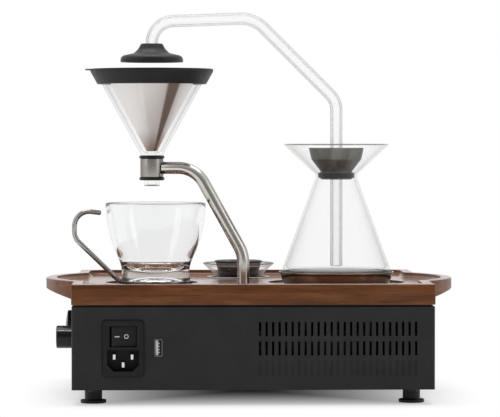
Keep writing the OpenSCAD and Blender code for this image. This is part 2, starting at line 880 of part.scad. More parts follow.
module bottom_plate() {
    hole_r = 1.2;
    grille_pitch = 6;
    grille_rings = 2;
    color(body_black) difference() {
        union() {
            box_between(
                [-inner_x + fit, inner_back + fit, body_z0],
                [inner_x - fit, panel_back - fit, plate_z1]
            );
            board_spacers(power_x, power_y, power_w, power_d);
            board_spacers(control_x, control_y, control_w, control_d);
        }
        at_feet() translate([0, 0, body_z0 - eps]) cylinder(r = screw_r + fit, h = wall + 2 * eps);
        at_flange_screws() translate([0, 0, body_z0 - eps]) cylinder(r = screw_r + fit, h = wall + 2 * eps);
        for (ring = [0 : grille_rings], i = [0 : max(6 * ring - 1, 0)])
            translate([speaker_x, speaker_y, body_z0 - eps])
                rotate([0, 0, i * 60 / max(ring, 1)])
                    translate([ring * grille_pitch, 0, 0]) cylinder(r = hole_r, h = wall + 2 * eps);
    }
}

module board_spacers(x, y, w, d) {
    for (sx = [-1, 1], sy = [-1, 1])
        translate([x + sx * (w / 2 - spacer_in), y + sy * (d / 2 - spacer_in), body_z0])
            cylinder(r = spacer_r, h = wall + spacer_h);
}

module deck_plate() {
    color(soft_black) difference() {
        box_between(
            [-body_x + deck_inset, back_y + deck_inset, body_z1],
            [body_x - deck_inset, body_y - deck_inset, tray_z0]
        );
        translate([jug_x, row_y, body_z1 - eps]) cylinder(r = coil_hole_r, h = deck_t + 2 * eps);
        translate([milk_x, milk_y, body_z1 - eps]) cylinder(r = well_hole_r, h = deck_t + 2 * eps);
        translate([arm_foot_x, arm_foot_y, body_z1 - eps]) cylinder(r = arm_r + fit, h = deck_t + 2 * eps);
        at_flange_screws() translate([0, 0, body_z1 - eps]) cylinder(r = screw_r + fit, h = deck_t + 2 * eps);
    }
}

module feet() {
    color(soft_black) at_feet() lathe([
        [foot_socket_r, 0, 0], [foot_flange_r, 0, edge], [foot_flange_r, foot_flange_h, edge],
        [foot_r, foot_flange_h, edge], [foot_r, foot_h, 0], [screw_r + fit, foot_h, 0],
        [screw_r + fit, foot_socket_h, 0], [foot_socket_r, foot_socket_h, 0]
    ]);
}

module foot_screws() {
    color(steel) at_feet() translate([0, 0, foot_socket_h]) screw(foot_h - foot_socket_h + wall);
}

module case_screws() {
    color(body_black) at_flange_screws() translate([0, 0, body_z0]) screw(2 * wall + screw_spare);
}

module tray_screws() {
    color(steel) at_flange_screws() translate([0, 0, body_z1 - wall]) screw(wall + deck_t + tray_bite);
}

// Tray
module bulge(r, from) {
    for (side = [-1, 1])
        intersection() {
            translate([side * bulge_c, 0]) circle(r);
            translate([side * (from + bulge_r), 0]) square([2 * bulge_r, 2 * bulge_r], center = true);
        }
}

module tray_outline() {
    square([tray_w, tray_d], center = true);
    bulge(bulge_r, tray_x - tray_rim / 2);
}

module recess_outline() {
    x = tray_x - tray_rim;
    y = tray_d / 2 - tray_rim;
    polygon(rounded([[-x, -y, recess_r], [x, -y, recess_r], [x, y, recess_r], [-x, y, recess_r]]));
    bulge(bulge_r - tray_rim, x - tray_rim / 2);
}

module tray_profile() {
    tip = tray_x + bulge_out + eps;
    lift = tray_z0 + bulge_lift;
    root = tray_z0 + bulge_root;
    rotate([90, 0, 0]) linear_extrude(tray_d + 2 * eps, center = true) polygon([
        [-tip, tray_z1 + eps], [-tip, lift], [-tray_x, root], [-tray_x, tray_z0],
        [tray_x, tray_z0], [tray_x, root], [tip, lift], [tip, tray_z1 + eps]
    ]);
}

module tray() {
    color(walnut) difference() {
        intersection() {
            translate([0, 0, tray_z0]) linear_extrude(tray_h) tray_outline();
            tray_profile();
        }
        translate([0, 0, floor_z]) linear_extrude(tray_recess + eps) recess_outline();
        translate([drip_x, row_y, seat_z]) cylinder(r = cup_seat_r, h = seat_depth + eps);
        translate([jug_x, row_y, seat_z]) cylinder(r = jug_seat_r, h = seat_depth + eps);
        translate([jug_x, row_y, seat_z - heater_t]) cylinder(r = heater_r + body_gap, h = heater_t + eps);
        translate([jug_x, row_y, tray_z0 - eps]) cylinder(r = coil_hole_r, h = tray_h);
        translate([milk_x, milk_y, tray_z0 - eps]) cylinder(r = well_hole_r, h = tray_h + eps);
        translate([arm_foot_x, arm_foot_y, tray_z0 - eps]) cylinder(r = arm_r + fit, h = tray_h + eps);
        at_flange_screws() translate([0, 0, tray_z0 - eps])
            cylinder(r = screw_r + run_gap, h = tray_bite + body_gap + eps);
    }
}

// Heater
module heater_plate() {
    color(soft_black) translate([jug_x, row_y, 0]) lathe([
        [0, seat_z - heater_t, 0], [heater_r, seat_z - heater_t, 0], [heater_r, seat_z, edge], [0, seat_z, 0]
    ]);
}

module induction_coil() {
    color(copper) translate([jug_x, row_y, coil_z0]) difference() {
        cylinder(r = coil_r, h = coil_h);
        translate([0, 0, -eps]) cylinder(r = coil_bore, h = coil_h + 2 * eps);
    }
}

module coil_former() {
    hang = 2;
    r = coil_hole_r - body_gap;
    rim_r = coil_hole_r + flange_w / 2;
    color(pale_plastic) translate([jug_x, row_y, 0]) lathe([
        [coil_bore / 2, body_z1 - hang, 0], [rim_r, body_z1 - hang, 0], [rim_r, body_z1, 0],
        [r, body_z1, 0], [r, coil_z0, 0], [coil_bore / 2, coil_z0, 0]
    ]);
}

// Mains inlet, rocker and charging socket
module socket_outline() {
    w = socket_w / 2;
    h = socket_h / 2;
    cut = socket_cut;
    polygon([[-w, h], [-w, cut - h], [cut - w, -h], [w - cut, -h], [w, cut - h], [w, h]]);
}

module pin_blades(from, to) {
    for (p = [[-pin_pitch / 2, pin_row], [pin_pitch / 2, pin_row], [0, -pin_row - pin_h / 4]])
        box_between(
            [inlet_x + p[0] - pin_w / 2, from, socket_z + p[1] - pin_h / 2],
            [inlet_x + p[0] + pin_w / 2, to, socket_z + p[1] + pin_h / 2]
        );
}

module inlet_body() {
    color(soft_black) difference() {
        union() {
            upright(inlet_x, inlet_y, inlet_z, inlet_t)
                rounded_plate(inlet_w, inlet_h, inlet_t, inlet_corner_r);
            box_between(
                [inlet_x - inlet_body_w / 2, inlet_y + inlet_t / 2, inlet_z - inlet_body_h / 2],
                [inlet_x + inlet_body_w / 2, back_y + inlet_depth, inlet_z + inlet_body_h / 2]
            );
        }
        upright(inlet_x, inlet_y - eps, socket_z, socket_depth + eps)
            linear_extrude(socket_depth + eps) socket_outline();
        box_between(
            [inlet_x - rocker_open_w / 2, inlet_y - eps, rocker_z - rocker_open_h / 2],
            [inlet_x + rocker_open_w / 2, inlet_y + rocker_pocket, rocker_z + rocker_open_h / 2]
        );
        translate([inlet_x, rocker_axis_y, rocker_z])
            cylinder(r = trunnion_r + run_gap, h = rocker_open_h + 2 * trunnion_in, center = true);
        pin_blades(inlet_y + socket_depth - eps, back_y + inlet_depth + eps);
    }
}

module inlet_pins() {
    color(steel) pin_blades(inlet_y + pin_front, back_y + inlet_depth + pin_tail);
}

module rocker() {
    high = rocker_deep - 1.6;
    low = rocker_deep - 3.4;
    skirt = 1.5;
    belly = 4;
    color(soft_black) translate([inlet_x, rocker_axis_y, rocker_z]) rotate([0, 0, rocker_tilt]) {
        translate([0, 0, -rocker_tall / 2]) linear_extrude(rocker_tall) polygon([
            [-rocker_half, -high], [0, -low], [rocker_half, -high], [rocker_half, skirt],
            [rocker_half / 2, belly], [-rocker_half / 2, belly], [-rocker_half, skirt]
        ]);
        cylinder(r = trunnion_r, h = rocker_open_h + 2 * (trunnion_in - body_gap), center = true);
    }
}

module usb_shell() {
    color(dark_steel) difference() {
        box_between(
            [usb_x - usb_w / 2, usb_y, usb_z - usb_h / 2],
            [usb_x + usb_w / 2, usb_y + usb_depth, usb_z + usb_h / 2]
        );
        box_between(
            [usb_x - usb_w / 2 + usb_t, usb_y - eps, usb_z - usb_h / 2 + usb_t],
            [usb_x + usb_w / 2 - usb_t, usb_y + usb_depth - usb_t, usb_z + usb_h / 2 - usb_t]
        );
    }
}

module usb_tongue() {
    tongue_t = 1.9;
    beside = 0.6;
    above = 0.4;
    sunk = 1;
    left = usb_x - usb_w / 2 + usb_t + beside;
    half = usb_h / 2 - usb_t - above;
    color(pale_plastic) box_between(
        [left, usb_y + sunk, usb_z - half],
        [left + tongue_t, usb_y + usb_depth - usb_t, usb_z + half]
    );
}

module usb_board() {
    stand_off = 2;
    board_d = 30;
    front = inner_back + flange_w + body_gap;
    side = usb_x + usb_w / 2;
    back = front + board_d;
    color(board_green) union() {
        box_between([side, inner_back + stand_off, usb_z - usb_h], [side + board_t, back, usb_z + usb_h]);
        box_between([side, front, plate_z1], [side + board_t, back, usb_z]);
    }
}

// Side knob and button
module along_side(y, z) {
    translate([-body_x, y, z]) rotate([0, -90, 0]) children();
}

module side_knob() {
    rim_z = knob_gap + knob_len;
    bush_play = 1;
    color(soft_black) along_side(knob_y, knob_z) lathe([
        [shaft_r, bush_room, 0], [bush_r + bush_play, bush_room, 0], [bush_r + bush_play, knob_gap, 0],
        [knob_r, knob_gap, edge], [knob_r, rim_z, soft_edge], [0, rim_z, 0],
        [0, knob_hub, 0], [shaft_r, knob_hub, 0]
    ]);
}

module knob_shaft() {
    deep = wall + encoder_d - encoder_back;
    color(steel) along_side(knob_y, knob_z)
        translate([0, 0, -deep]) cylinder(r = shaft_r, h = deep + knob_hub);
}

module knob_encoder() {
    encoder_w = 13;
    half = encoder_w / 2;
    deep = wall + encoder_d - encoder_back + run_gap;
    color(aluminium) along_side(knob_y, knob_z) difference() {
        union() {
            translate([-half, -half, -wall - encoder_d]) cube([encoder_w, encoder_w, encoder_d]);
            translate([0, 0, -wall - eps]) cylinder(r = bush_r, h = wall + eps + bush_out);
        }
        translate([0, 0, -deep]) cylinder(r = shaft_r + run_gap, h = deep + bush_out + eps);
    }
}

module side_button() {
    dome = pow(button_r, 2) / (2 * (button_out - button_rim)) + (button_out - button_rim) / 2;
    color(soft_black) along_side(button_y, button_z) union() {
        translate([0, 0, -wall - button_flange]) cylinder(r = button_r + button_lap, h = button_flange);
        translate([0, 0, -wall - eps]) cylinder(r = button_r, h = wall + eps + button_rim);
        intersection() {
            translate([0, 0, button_out - dome]) sphere(r = dome);
            translate([0, 0, button_rim]) cylinder(r = button_r, h = button_out);
        }
        translate([0, 0, -wall - stem_len]) cylinder(r = plunger_r, h = stem_len);
    }
}

module button_switch() {
    thick = 3;
    leg = 2;
    play = 1;
    deep = stem_len + button_travel + thick;
    room = button_flange + button_travel + body_gap;
    half = button_r + button_lap + play;
    side = plunger_r + thick;
    bore = stem_len + button_travel + play;
    color(aluminium) along_side(button_y, button_z) difference() {
        translate([-side, -half - leg, -wall - deep]) cube([2 * side, 2 * (half + leg), deep]);
        translate([-half, -half, -wall - room]) cube([2 * half, 2 * half, room + eps]);
        translate([0, 0, -wall - bore]) cylinder(r = plunger_r + run_gap, h = bore);
    }
}

// Fan
module at_fan() {
    upright(vent_mid_x, fan_y0, fan_z, fan_t) children();
}

module fan_frame() {
    strut_w = 4;
    strut_turn = 30;
    color(soft_black) at_fan() difference() {
        union() {
            difference() {
                translate([-fan_size / 2, -fan_size / 2, 0]) cube([fan_size, fan_size, fan_t]);
                translate([0, 0, -eps]) cylinder(r = fan_bore_r, h = fan_t + 2 * eps);
            }
            cylinder(r = fan_hub_r, h = fan_plate);
            for (i = [0 : 2])
                rotate([0, 0, 120 * i + strut_turn])
                    translate([0, -strut_w / 2, 0]) cube([fan_bore_r + eps, strut_w, fan_plate]);
        }
        translate([0, 0, -eps]) cylinder(r = fan_pin_r + run_gap, h = fan_plate + 2 * eps);
    }
}

module fan_rotor() {
    blade_gap = 1.5;
    blade_root = 1.5;
    blade_len = fan_bore_r - fan_hub_r - blade_gap + blade_root;
    blade_t = 1.4;
    blade_h = 10;
    blade_tilt = 38;
    hub_z = fan_plate + fan_play;
    hub_h = fan_t - fan_plate - 2 * fan_play;
    color(soft_black) at_fan() union() {
        translate([0, 0, hub_z]) cylinder(r = fan_hub_r, h = hub_h);
        translate([0, 0, body_gap]) cylinder(r = fan_pin_r, h = hub_z);
        for (i = [0 : fan_blades - 1])
            rotate([0, 0, i * 360 / fan_blades])
                translate([fan_hub_r - blade_root, 0, hub_z + hub_h / 2])
                    rotate([blade_tilt, 0, 0])
                        translate([0, -blade_t / 2, -blade_h / 2]) cube([blade_len, blade_t, blade_h]);
    }
}

// Boards
module power_board() {
    color(board_green) box_between(
        [power_x - power_w / 2, power_y - power_d / 2, board_z],
        [power_x + power_w / 2, power_y + power_d / 2, board_top]
    );
}

module board_parts() {
    can_r = 9;
    can_h = 26;
    can_in = 14;
    can_pitch = 32;
    block_in = 8;
    filter_block = [26, 26, 24];
    relay_block = [22, 24, 18];
    relay_y = 6;
    color(parts_blue) translate([power_x, power_y, board_top]) {
        for (side = [-1, 1])
            translate([power_w / 2 - can_in, side * can_pitch / 2, 0]) cylinder(r = can_r, h = can_h);
        translate([block_in - power_w / 2, block_in - power_d / 2, 0]) cube(filter_block);
        translate([block_in - power_w / 2, relay_y, 0]) cube(relay_block);
    }
}

module heat_sink() {
    fins = 7;
    fin_t = 2;
    fin_h = 26;
    pitch = 6;
    long = 44;
    base = 4;
    wide = (fins - 1) * pitch + fin_t;
    color(aluminium) translate([power_x - wide / 2, power_y - long / 2, board_top]) {
        cube([wide, long, base]);
        for (i = [0 : fins - 1])
            translate([i * pitch, 0, 0]) cube([fin_t, long, fin_h]);
    }
}

module control_board() {
    chip_w = 14;
    chip_h = 1.6;
    plug_w = 8;
    plug_h = 9;
    plug_in = 6;
    color(board_green) translate([control_x - control_w / 2, control_y - control_d / 2, board_z]) {
        cube([control_w, control_d, board_t]);
        translate([control_w / 3, control_d / 3, 0]) cube([chip_w, chip_w, board_t + chip_h]);
        translate([plug_w, control_d - plug_w - plug_in, 0]) cube([control_w / 2, plug_w, board_t + plug_h]);
    }
}

module speaker() {
    rim_w = 3;
    rim_t = 2;
    cone_deep = 6;
    basket_h = 9;
    full_h = 16;
    magnet_r = speaker_r * 0.6;
    color(soft_black) translate([speaker_x, speaker_y, plate_z1]) lathe([
        [speaker_r - rim_w, 0, 0], [speaker_r, 0, 0], [speaker_r, rim_t, 0], [magnet_r, basket_h, 0],
        [magnet_r, full_h, 0], [0, full_h, 0], [0, cone_deep, 0], [magnet_r / 2, cone_deep, 0]
    ]);
}

// Milk cooler
module milk_well() {
    outer_r = well_r + well_wall;
    lip_z = floor_z + well_flange_t;
    color(steel) translate([milk_x, milk_y, 0]) lathe([
        [0, well_z0, 0], [outer_r, well_z0, well_round + well_wall], [outer_r, floor_z, 0],
        [outer_r + well_flange, floor_z, 0], [outer_r + well_flange, lip_z, fine_edge],
        [well_r, lip_z, fine_edge], [well_r, well_z0 + well_wall, well_round], [0, well_z0 + well_wall, 0]
    ]);
}

module square_block(w, z0, z1) {
    box_between([milk_x - w / 2, milk_y - w / 2, z0], [milk_x + w / 2, milk_y + w / 2, z1]);
}

module cold_block() {
    color(aluminium) square_block(tile_w, cold_z0, well_z0);
}

module cooling_tile() {
    color(pale_plastic) square_block(tile_w, tile_z0, cold_z0);
}

module cooler_sink() {
    fins = 9;
    fin_t = 1.6;
    step = (sink_w - fin_t) / (fins - 1);
    color(aluminium) union() {
        square_block(sink_w, tile_z0 - sink_base, tile_z0);
        for (i = [0 : fins - 1]) {
            x = milk_x - sink_w / 2 + i * step;
            box_between(
                [x, milk_y - sink_w / 2, plate_z1],
                [x + fin_t, milk_y + sink_w / 2, tile_z0 - sink_base / 2]
            );
        }
    }
}

// Clock
module display_lens() {
    color(soft_black) box_between(
        [clock_x - clock_w / 2, panel_back, clock_z - clock_h / 2],
        [clock_x + clock_w / 2, body_y + clock_proud, clock_z + clock_h / 2]
    );
}

module display_board() {
    leg_w = 2.8;
    inside = 1;
    y0 = panel_back - figure_t - display_d;
    y1 = panel_back - figure_t;
    w = clock_w / 2 + clock_ledge;
    h = clock_h / 2 + clock_ledge;
    color(board_green) union() {
        box_between([clock_x - w, y0, clock_z - h], [clock_x + w, y0 + board_t, clock_z + h]);
        box_between(
            [clock_x - clock_w / 2 + inside, y0, clock_z - clock_h / 2 + inside],
            [clock_x + clock_w / 2 - inside, y1, clock_z + clock_h / 2 - inside]
        );
        for (x = [clock_x - w, clock_x + w - leg_w])
            box_between([x, y0, clock_z - h], [x + leg_w, panel_back, clock_z + h]);
    }
}

// Bars of a seven-bar figure: top, upper right, lower right, bottom, lower left, upper left, middle
bars_lit = [
    [1, 1, 1, 1, 1, 1, 0], [0, 1, 1, 0, 0, 0, 0], [1, 1, 0, 1, 1, 0, 1], [1, 1, 1, 1, 0, 0, 1],
    [0, 1, 1, 0, 0, 1, 1], [1, 0, 1, 1, 0, 1, 1], [1, 0, 1, 1, 1, 1, 1], [1, 1, 1, 0, 0, 0, 0],
    [1, 1, 1, 1, 1, 1, 1], [1, 1, 1, 1, 0, 1, 1]
];
module figure_bars(value) {
    half = figure_h / 2;
    bar = figure_h / 9;
    bar_cut = 1.4 * bar;
    reach = figure_h / 4;
    mid = half / 2;
    level_bars = [[0, half], [3, -half], [6, 0]];
    side_bars = [[1, reach, mid], [2, reach, -mid], [4, -reach, -mid], [5, -reach, mid]];
    for (b = level_bars)
        if (bars_lit[value][b[0]] == 1)
            translate([0, b[1]]) square([2 * reach - bar_cut, bar], center = true);
    for (b = side_bars)
        if (bars_lit[value][b[0]] == 1)
            translate([b[1], b[2]]) square([bar, half - bar_cut], center = true);
}

module clock_figures() {
    step = figure_h * 0.78;
    shown = [[7, -1.15], [3, 0.45], [0, 1.45]];
    colon_x = -0.35;
    dot_r = figure_h / 16;
    dot_rise = figure_h / 5;
    color(pale_plastic) translate([clock_x, panel_back - figure_t, clock_z]) rotate([90, 0, 180])
        linear_extrude(figure_t) {
            for (f = shown)
                translate([f[1] * step, 0]) figure_bars(f[0]);
            for (z = [-dot_rise, dot_rise])
                translate([colon_x * step, z]) circle(dot_r);
        }
}

// Drawer
module drawer_box() {
    w = drawer_box_w / 2;
    y1 = body_y - drawer_front_t;
    color(soft_black) difference() {
        box_between(
            [drawer_x - w, drawer_back, drawer_box_z0],
            [drawer_x + w, y1, drawer_box_z0 + drawer_box_h]
        );
        box_between(
            [drawer_x - w + drawer_wall, drawer_back + drawer_wall, drawer_box_z0 + drawer_wall],
            [drawer_x + w - drawer_wall, y1 - drawer_wall, drawer_box_z0 + drawer_box_h + eps]
        );
    }
}

module drawer_front() {
    w = drawer_w / 2;
    color(body_black) difference() {
        box_between(
            [drawer_x - w, body_y - drawer_front_t, drawer_z0],
            [drawer_x + w, body_y, drawer_z0 + drawer_h]
        );
        translate([drawer_x, body_y + eps, drawer_z0 + drawer_h])
            rotate([90, 0, 0]) cylinder(r = notch_r, h = drawer_front_t + 2 * eps);
    }
}

module drawer_runners() {
    y1 = panel_back - flange_w - runner_clear;
    rest_z = drawer_box_z0 - body_gap;
    side = drawer_box_w / 2 + body_gap;
    color(steel) for (s = [-1, 1])
        translate([drawer_x, 0, 0]) scale([s, 1, 1]) union() {
            box_between([side - runner_w, drawer_back, plate_z1], [side + runner_t, y1, rest_z]);
            box_between([side, drawer_back, plate_z1], [side + runner_t, y1, rest_z + runner_w]);
        }
}

// Arm with its ring and grommet
module arm_tube() {
    color(steel) translate([drip_x, row_y, 0]) difference() {
        rotate([0, 0, arm_turn])
            bent_tube(arm_path, [arm_top_bend, arm_knee_bend], arm_r, arm_r - arm_wall);
        translate([0, 0, ring_z0 - eps]) cylinder(r = ring_r, h = ring_h + 2 * eps);
    }
}

module arm_ring() {
    bore = ring_r - ring_t;
    color(steel) translate([drip_x, row_y, 0]) lathe([
        [bore, ring_z0, 0], [ring_r, ring_z0, edge], [ring_r, ring_z1, edge], [bore, ring_z1, 0]
    ]);
}

module ring_grommet() {
    bore = stem_r + 2 * run_gap;
    waist = ring_r - ring_t;
    low = ring_z0 - grommet_t;
    color(soft_black) translate([drip_x, row_y, 0]) lathe([
        [bore, low, 0], [grommet_r, low, soft_edge], [grommet_r, ring_z0, edge], [waist, ring_z0, 0],
        [waist, ring_z1, 0], [grommet_r, ring_z1, edge], [grommet_r, grommet_z1, soft_edge],
        [bore, grommet_z1, 0]
    ]);
}

module arm_nut() {
    washer_r = 10;
    washer_t = 1.2;
    nut_r = 9.2;
    nut_t = 6;
    color(steel) translate([arm_foot_x, arm_foot_y, body_z1]) difference() {
        union() {
            translate([0, 0, -washer_t]) cylinder(r = washer_r, h = washer_t);
            translate([0, 0, -washer_t - nut_t]) cylinder(r = nut_r, h = nut_t + washer_t / 2, $fn = 6);
        }
        translate([0, 0, -arm_thread]) cylinder(r = arm_r, h = arm_thread + eps);
    }
}

// Drip cone
function cone_out(z) = cone_root_r + (z - cone_z0) * cone_rise;
module dripper_glass() {
    root = 1;
    inner_z = cone_z0 + cone_wall + root;
    color(clear_glass, 0.4) translate([drip_x, row_y, 0]) lathe([
        [stem_bore_r, stem_z0, edge], [stem_r, stem_z0, edge], [stem_r, cone_z0, edge],
        [cone_root_r, cone_z0, soft_edge], [cone_rim_r, cone_z1, edge],
        [cone_rim_r - cone_thick, cone_z1, edge], [cone_out(inner_z) - cone_thick, inner_z, soft_edge],
        [stem_bore_r, inner_z - cone_wall, soft_edge]
    ]);
}

module dripper_collar() {
    lap = 3.5;
    skin = collar_gap / cos(cone_angle);
    inner_r = cone_out(collar_z0) + skin;
    top_z = cone_z1 + collar_gap;
    top_r = cone_out(top_z) + skin;
    outer_r = top_r + collar_t;
    lip_r = filter_r + filter_rim + body_gap;
    notch_w = tab_w + 2 * body_gap;
    color(soft_black) translate([drip_x, row_y, 0]) difference() {
        lathe([
            [inner_r, collar_z0, 0], [inner_r + collar_t, collar_z0, edge], [outer_r, top_z, edge],
            [outer_r, rim_z1, edge], [lip_r, rim_z1, fine_edge], [lip_r, collar_z1, 0],
            [top_r - lap, collar_z1, 0], [top_r - lap, top_z, 0], [top_r, top_z, 0]
        ]);
        translate([-outer_r - eps, -notch_w / 2, collar_z1])
            cube([outer_r - lip_r + collar_t / 2, notch_w, filter_rim_t + eps]);
    }
}

module mesh_filter() {
    rise = (filter_r - filter_end_r) / (collar_z1 - filter_z0);
    skin = filter_t * sqrt(1 + rise * rise);
    color(dark_steel) translate([drip_x, row_y, 0]) union() {
        lathe([
            [0, filter_z0, 0], [filter_end_r, filter_z0, edge], [filter_r, collar_z1, 0],
            [filter_r + filter_rim, collar_z1, 0], [filter_r + filter_rim, rim_z1, fine_edge],
            [filter_r + filter_rim_t * rise - skin, rim_z1, 0],
            [filter_end_r + filter_t * rise - skin, filter_z0 + filter_t, 0], [0, filter_z0 + filter_t, 0]
        ]);
        translate([-filter_r - filter_rim - tab_out, -tab_w / 2, collar_z1])
            cube([tab_out + filter_rim / 2, tab_w, filter_rim_t]);
    }
}

// Jug, stopper and pipe
module jug_base() {
    ledge_z = glass_z0 - jug_seal_h;
    rim_r = jug_base_r - jug_dish_t;
    rim_z = seat_z + jug_base_h;
    dish_r = jug_foot_r - jug_ledge_w;
    dish_z = seat_z + jug_floor_t;
    color(steel) translate([jug_x, row_y, 0]) lathe([
        [0, seat_z, 0], [jug_foot_r, seat_z, edge], [jug_base_r, rim_z, fine_edge], [rim_r, rim_z, fine_edge],
        [rim_r, ledge_z, 0], [dish_r, ledge_z, 0], [dish_r, dish_z, soft_edge], [0, dish_z, 0]
    ]);
}

module jug_seal() {
    ledge_z = glass_z0 - jug_seal_h;
    inner_r = jug_foot_r - jug_ledge_w + soft_edge;
    outer_r = jug_base_r - jug_dish_t;
    color(soft_black) translate([jug_x, row_y, 0]) lathe([
        [inner_r, ledge_z, 0], [outer_r, ledge_z, 0], [outer_r, glass_z0, fine_edge], [inner_r, glass_z0, 0]
    ]);
}

module jug_glass() {
    color(clear_glass, 0.4) translate([jug_x, row_y, 0]) lathe([
        [0, glass_z0, 0], [jug_bottom_r, glass_z0, jug_round_r / 2], [jug_neck_r, neck_z, jug_round_r],
        [jug_rim_r, jug_rim_z, edge], [each jug_inner_rim, edge], [each jug_inner_neck, jug_round_r],
        [each jug_inner_bottom, jug_round_r / 2], [0, glass_z0 + jug_floor_t, 0]
    ]);
}

module stopper_bowl() {
    turn_z = neck_z + stopper_turn;
    seal_top = stopper_seal_z + stopper_seal_h;
    floor_in = plug_z1 + stopper_t;
    color(dark_steel) translate([jug_x, row_y, 0]) lathe([
        [tube_seal_r, plug_z0, 0], [stopper_plug_r, plug_z0, edge], [stopper_plug_r, stopper_seal_z, 0],
        [stopper_groove_r, stopper_seal_z, 0], [stopper_groove_r, seal_top, 0],
        [stopper_plug_r, seal_top, 0], [stopper_plug_r, plug_z1, soft_edge],
        [stopper_bowl_r, turn_z, stopper_bend_r], [stopper_lip_r, lip_z, fine_edge],
        [stopper_lip_r - stopper_t, lip_z, fine_edge],
        [stopper_bowl_r - stopper_t, turn_z, stopper_bend_r - stopper_t],
        [stopper_plug_r - stopper_t, floor_in, soft_edge], [tube_seal_r, floor_in, 0]
    ]);
}

module stopper_seal() {
    seal_top = stopper_seal_z + stopper_seal_h;
    color(soft_black) translate([jug_x, row_y, 0]) lathe([
        [stopper_groove_r, stopper_seal_z, 0], [stopper_seal_r, stopper_seal_z, edge],
        [stopper_seal_r, seal_top, edge], [stopper_groove_r, seal_top, 0]
    ]);
}

module tube_seal() {
    bore = pipe_r + run_gap;
    low = plug_z0 + edge;
    high = plug_z1 + stopper_t + tube_seal_lip;
    color(soft_black) translate([jug_x, row_y, 0]) lathe([
        [bore, low, 0], [tube_seal_r, low, 0], [tube_seal_r, high, edge], [bore, high, 0]
    ]);
}

module pipe() {
    color(clear_glass, 0.4) translate([0, row_y, 0])
        bent_tube(pipe_path, pipe_bends, pipe_r, pipe_r - pipe_wall);
}

module pipe_cap() {
    rim_w = 3;
    rim_h = 5;
    rim_r = 4.2;
    brow_w = 5.8;
    brow_h = 7.45;
    brow_r = 3;
    waist_w = 2.4;
    waist_h = 10.8;
    waist_r = 6;
    sleeve_h = 3;
    hollow_h = 2.4;
    bore = pipe_r - pipe_wall;
    color(soft_black) translate([drip_x, row_y, 0]) lathe([
        [cap_r - rim_w, cap_z0, edge], [cap_r, cap_z0, edge], [cap_r, cap_z0 + rim_h, rim_r],
        [cap_neck_r + brow_w, cap_z0 + brow_h, brow_r], [cap_neck_r + waist_w, cap_z0 + waist_h, waist_r],
        [cap_neck_r, cap_z1, edge], [pipe_r, cap_z1, 0],
        [pipe_r, pipe_end_z, 0], [bore, pipe_end_z, 0], [bore, cap_z0 + sleeve_h, 0],
        [cap_r - rim_w - soft_edge, cap_z0 + hollow_h, edge]
    ]);
}

// Cup
module cup_glass() {
    base = seat_z + fit;
    rim = seat_z + cup_h;
    waist = seat_z + cup_waist_h;
    floor_in = seat_z + cup_floor_h;
    inner = cup_rim_r - cup_wall;
    lip = 0.9;
    foot_edge = 1.5;
    ring_w = 12.7;
    dome_r = cup_foot_r - ring_w;
    dome_h = 5.5;
    dome_pull = 3.5;
    waist_pull = 12;
    belly_w = 1.7;
    rim_pull = 38;
    inner_pull = 32.5;
    root_w = 0.2;
    root_h = 10.5;
    pull_h = 15;
    turn_w = 0.6;
    turn_h = 7.5;
    bowl_w = 10.8;
    root_r = cup_waist_r - root_w;
    root = [root_r, floor_in + root_h];
    root_pull = [root_r, floor_in + pull_h];
    turn = [cup_waist_r - turn_w, floor_in + turn_h];
    bowl = bezier(root, turn, [cup_waist_r - bowl_w, floor_in], [0, floor_in]);
    color(clear_glass, 0.4) translate([cup_x, row_y, 0]) rotate_extrude() polygon(concat(
        bezier(
            [0, base + dome_h], [dome_r / 2, base + dome_h],
            [dome_r, base + dome_pull], [dome_r, base]
        ),
        [[cup_foot_r, base], [cup_foot_r, base + foot_edge]],
        bezier(
            [cup_waist_r, waist], [cup_waist_r, waist + waist_pull],
            [cup_rim_r - belly_w, rim - rim_pull], [cup_rim_r, rim - lip]
        ),
        [[cup_rim_r - lip / 2, rim - lip / 4], [cup_rim_r - cup_wall / 2, rim]],
        [[inner + lip / 2, rim - lip / 4]],
        bezier([inner, rim - lip], [inner - belly_w, rim - inner_pull], root_pull, root),
        [for (i = [1 : curve_steps]) bowl[i]]
    ));
}

module cup_handle() {
    tip_dip = 2.5;
    band_r = cup_foot_r + fit;
    base = seat_z + fit;
    path = [
        [-band_r - band_t / 2, base + handle_r], [-handle_reach, seat_z + handle_elbow],
        [-handle_reach, seat_z + handle_top], [-handle_tip, seat_z + handle_top - tip_dip]
    ];
    color(steel) translate([cup_x, row_y, 0]) difference() {
        union() {
            translate([0, 0, base]) cylinder(r = band_r + band_t, h = band_h);
            bent_bar(path, [handle_bend, handle_bend], handle_r, true);
        }
        translate([0, 0, base - handle_r]) cylinder(r = band_r, h = band_h + 3 * handle_r);
        translate([-2 * handle_reach, -handle_reach, base - handle_reach])
            cube([4 * handle_reach, 2 * handle_reach, handle_reach]);
    }
}

// Milk jug
module milk_glass() {
    shoulder = milk_neck_z - milk_neck_len;
    side_z = milk_z0 + milk_side_h;
    floor_in = milk_z0 + milk_floor_t;
    inner_r = milk_bottom_r - milk_wall;
    color(clear_glass, 0.4) translate([milk_x, milk_y, 0]) lathe([
        [0, milk_z0, 0], [milk_bottom_r, milk_z0, milk_floor_t], [milk_bottom_r, side_z, milk_round_r],
        [milk_neck_r, shoulder, milk_round_r], [milk_neck_r, milk_neck_z, milk_round_r],
        [milk_rim_r, milk_rim_z, edge], [milk_rim_r - milk_wall, milk_rim_z, fine_edge],
        [milk_bore_r, milk_neck_z, milk_round_r], [milk_bore_r, shoulder, milk_round_r],
        [inner_r, side_z, milk_round_r], [inner_r, floor_in, milk_floor_t], [0, floor_in, 0]
    ]);
}

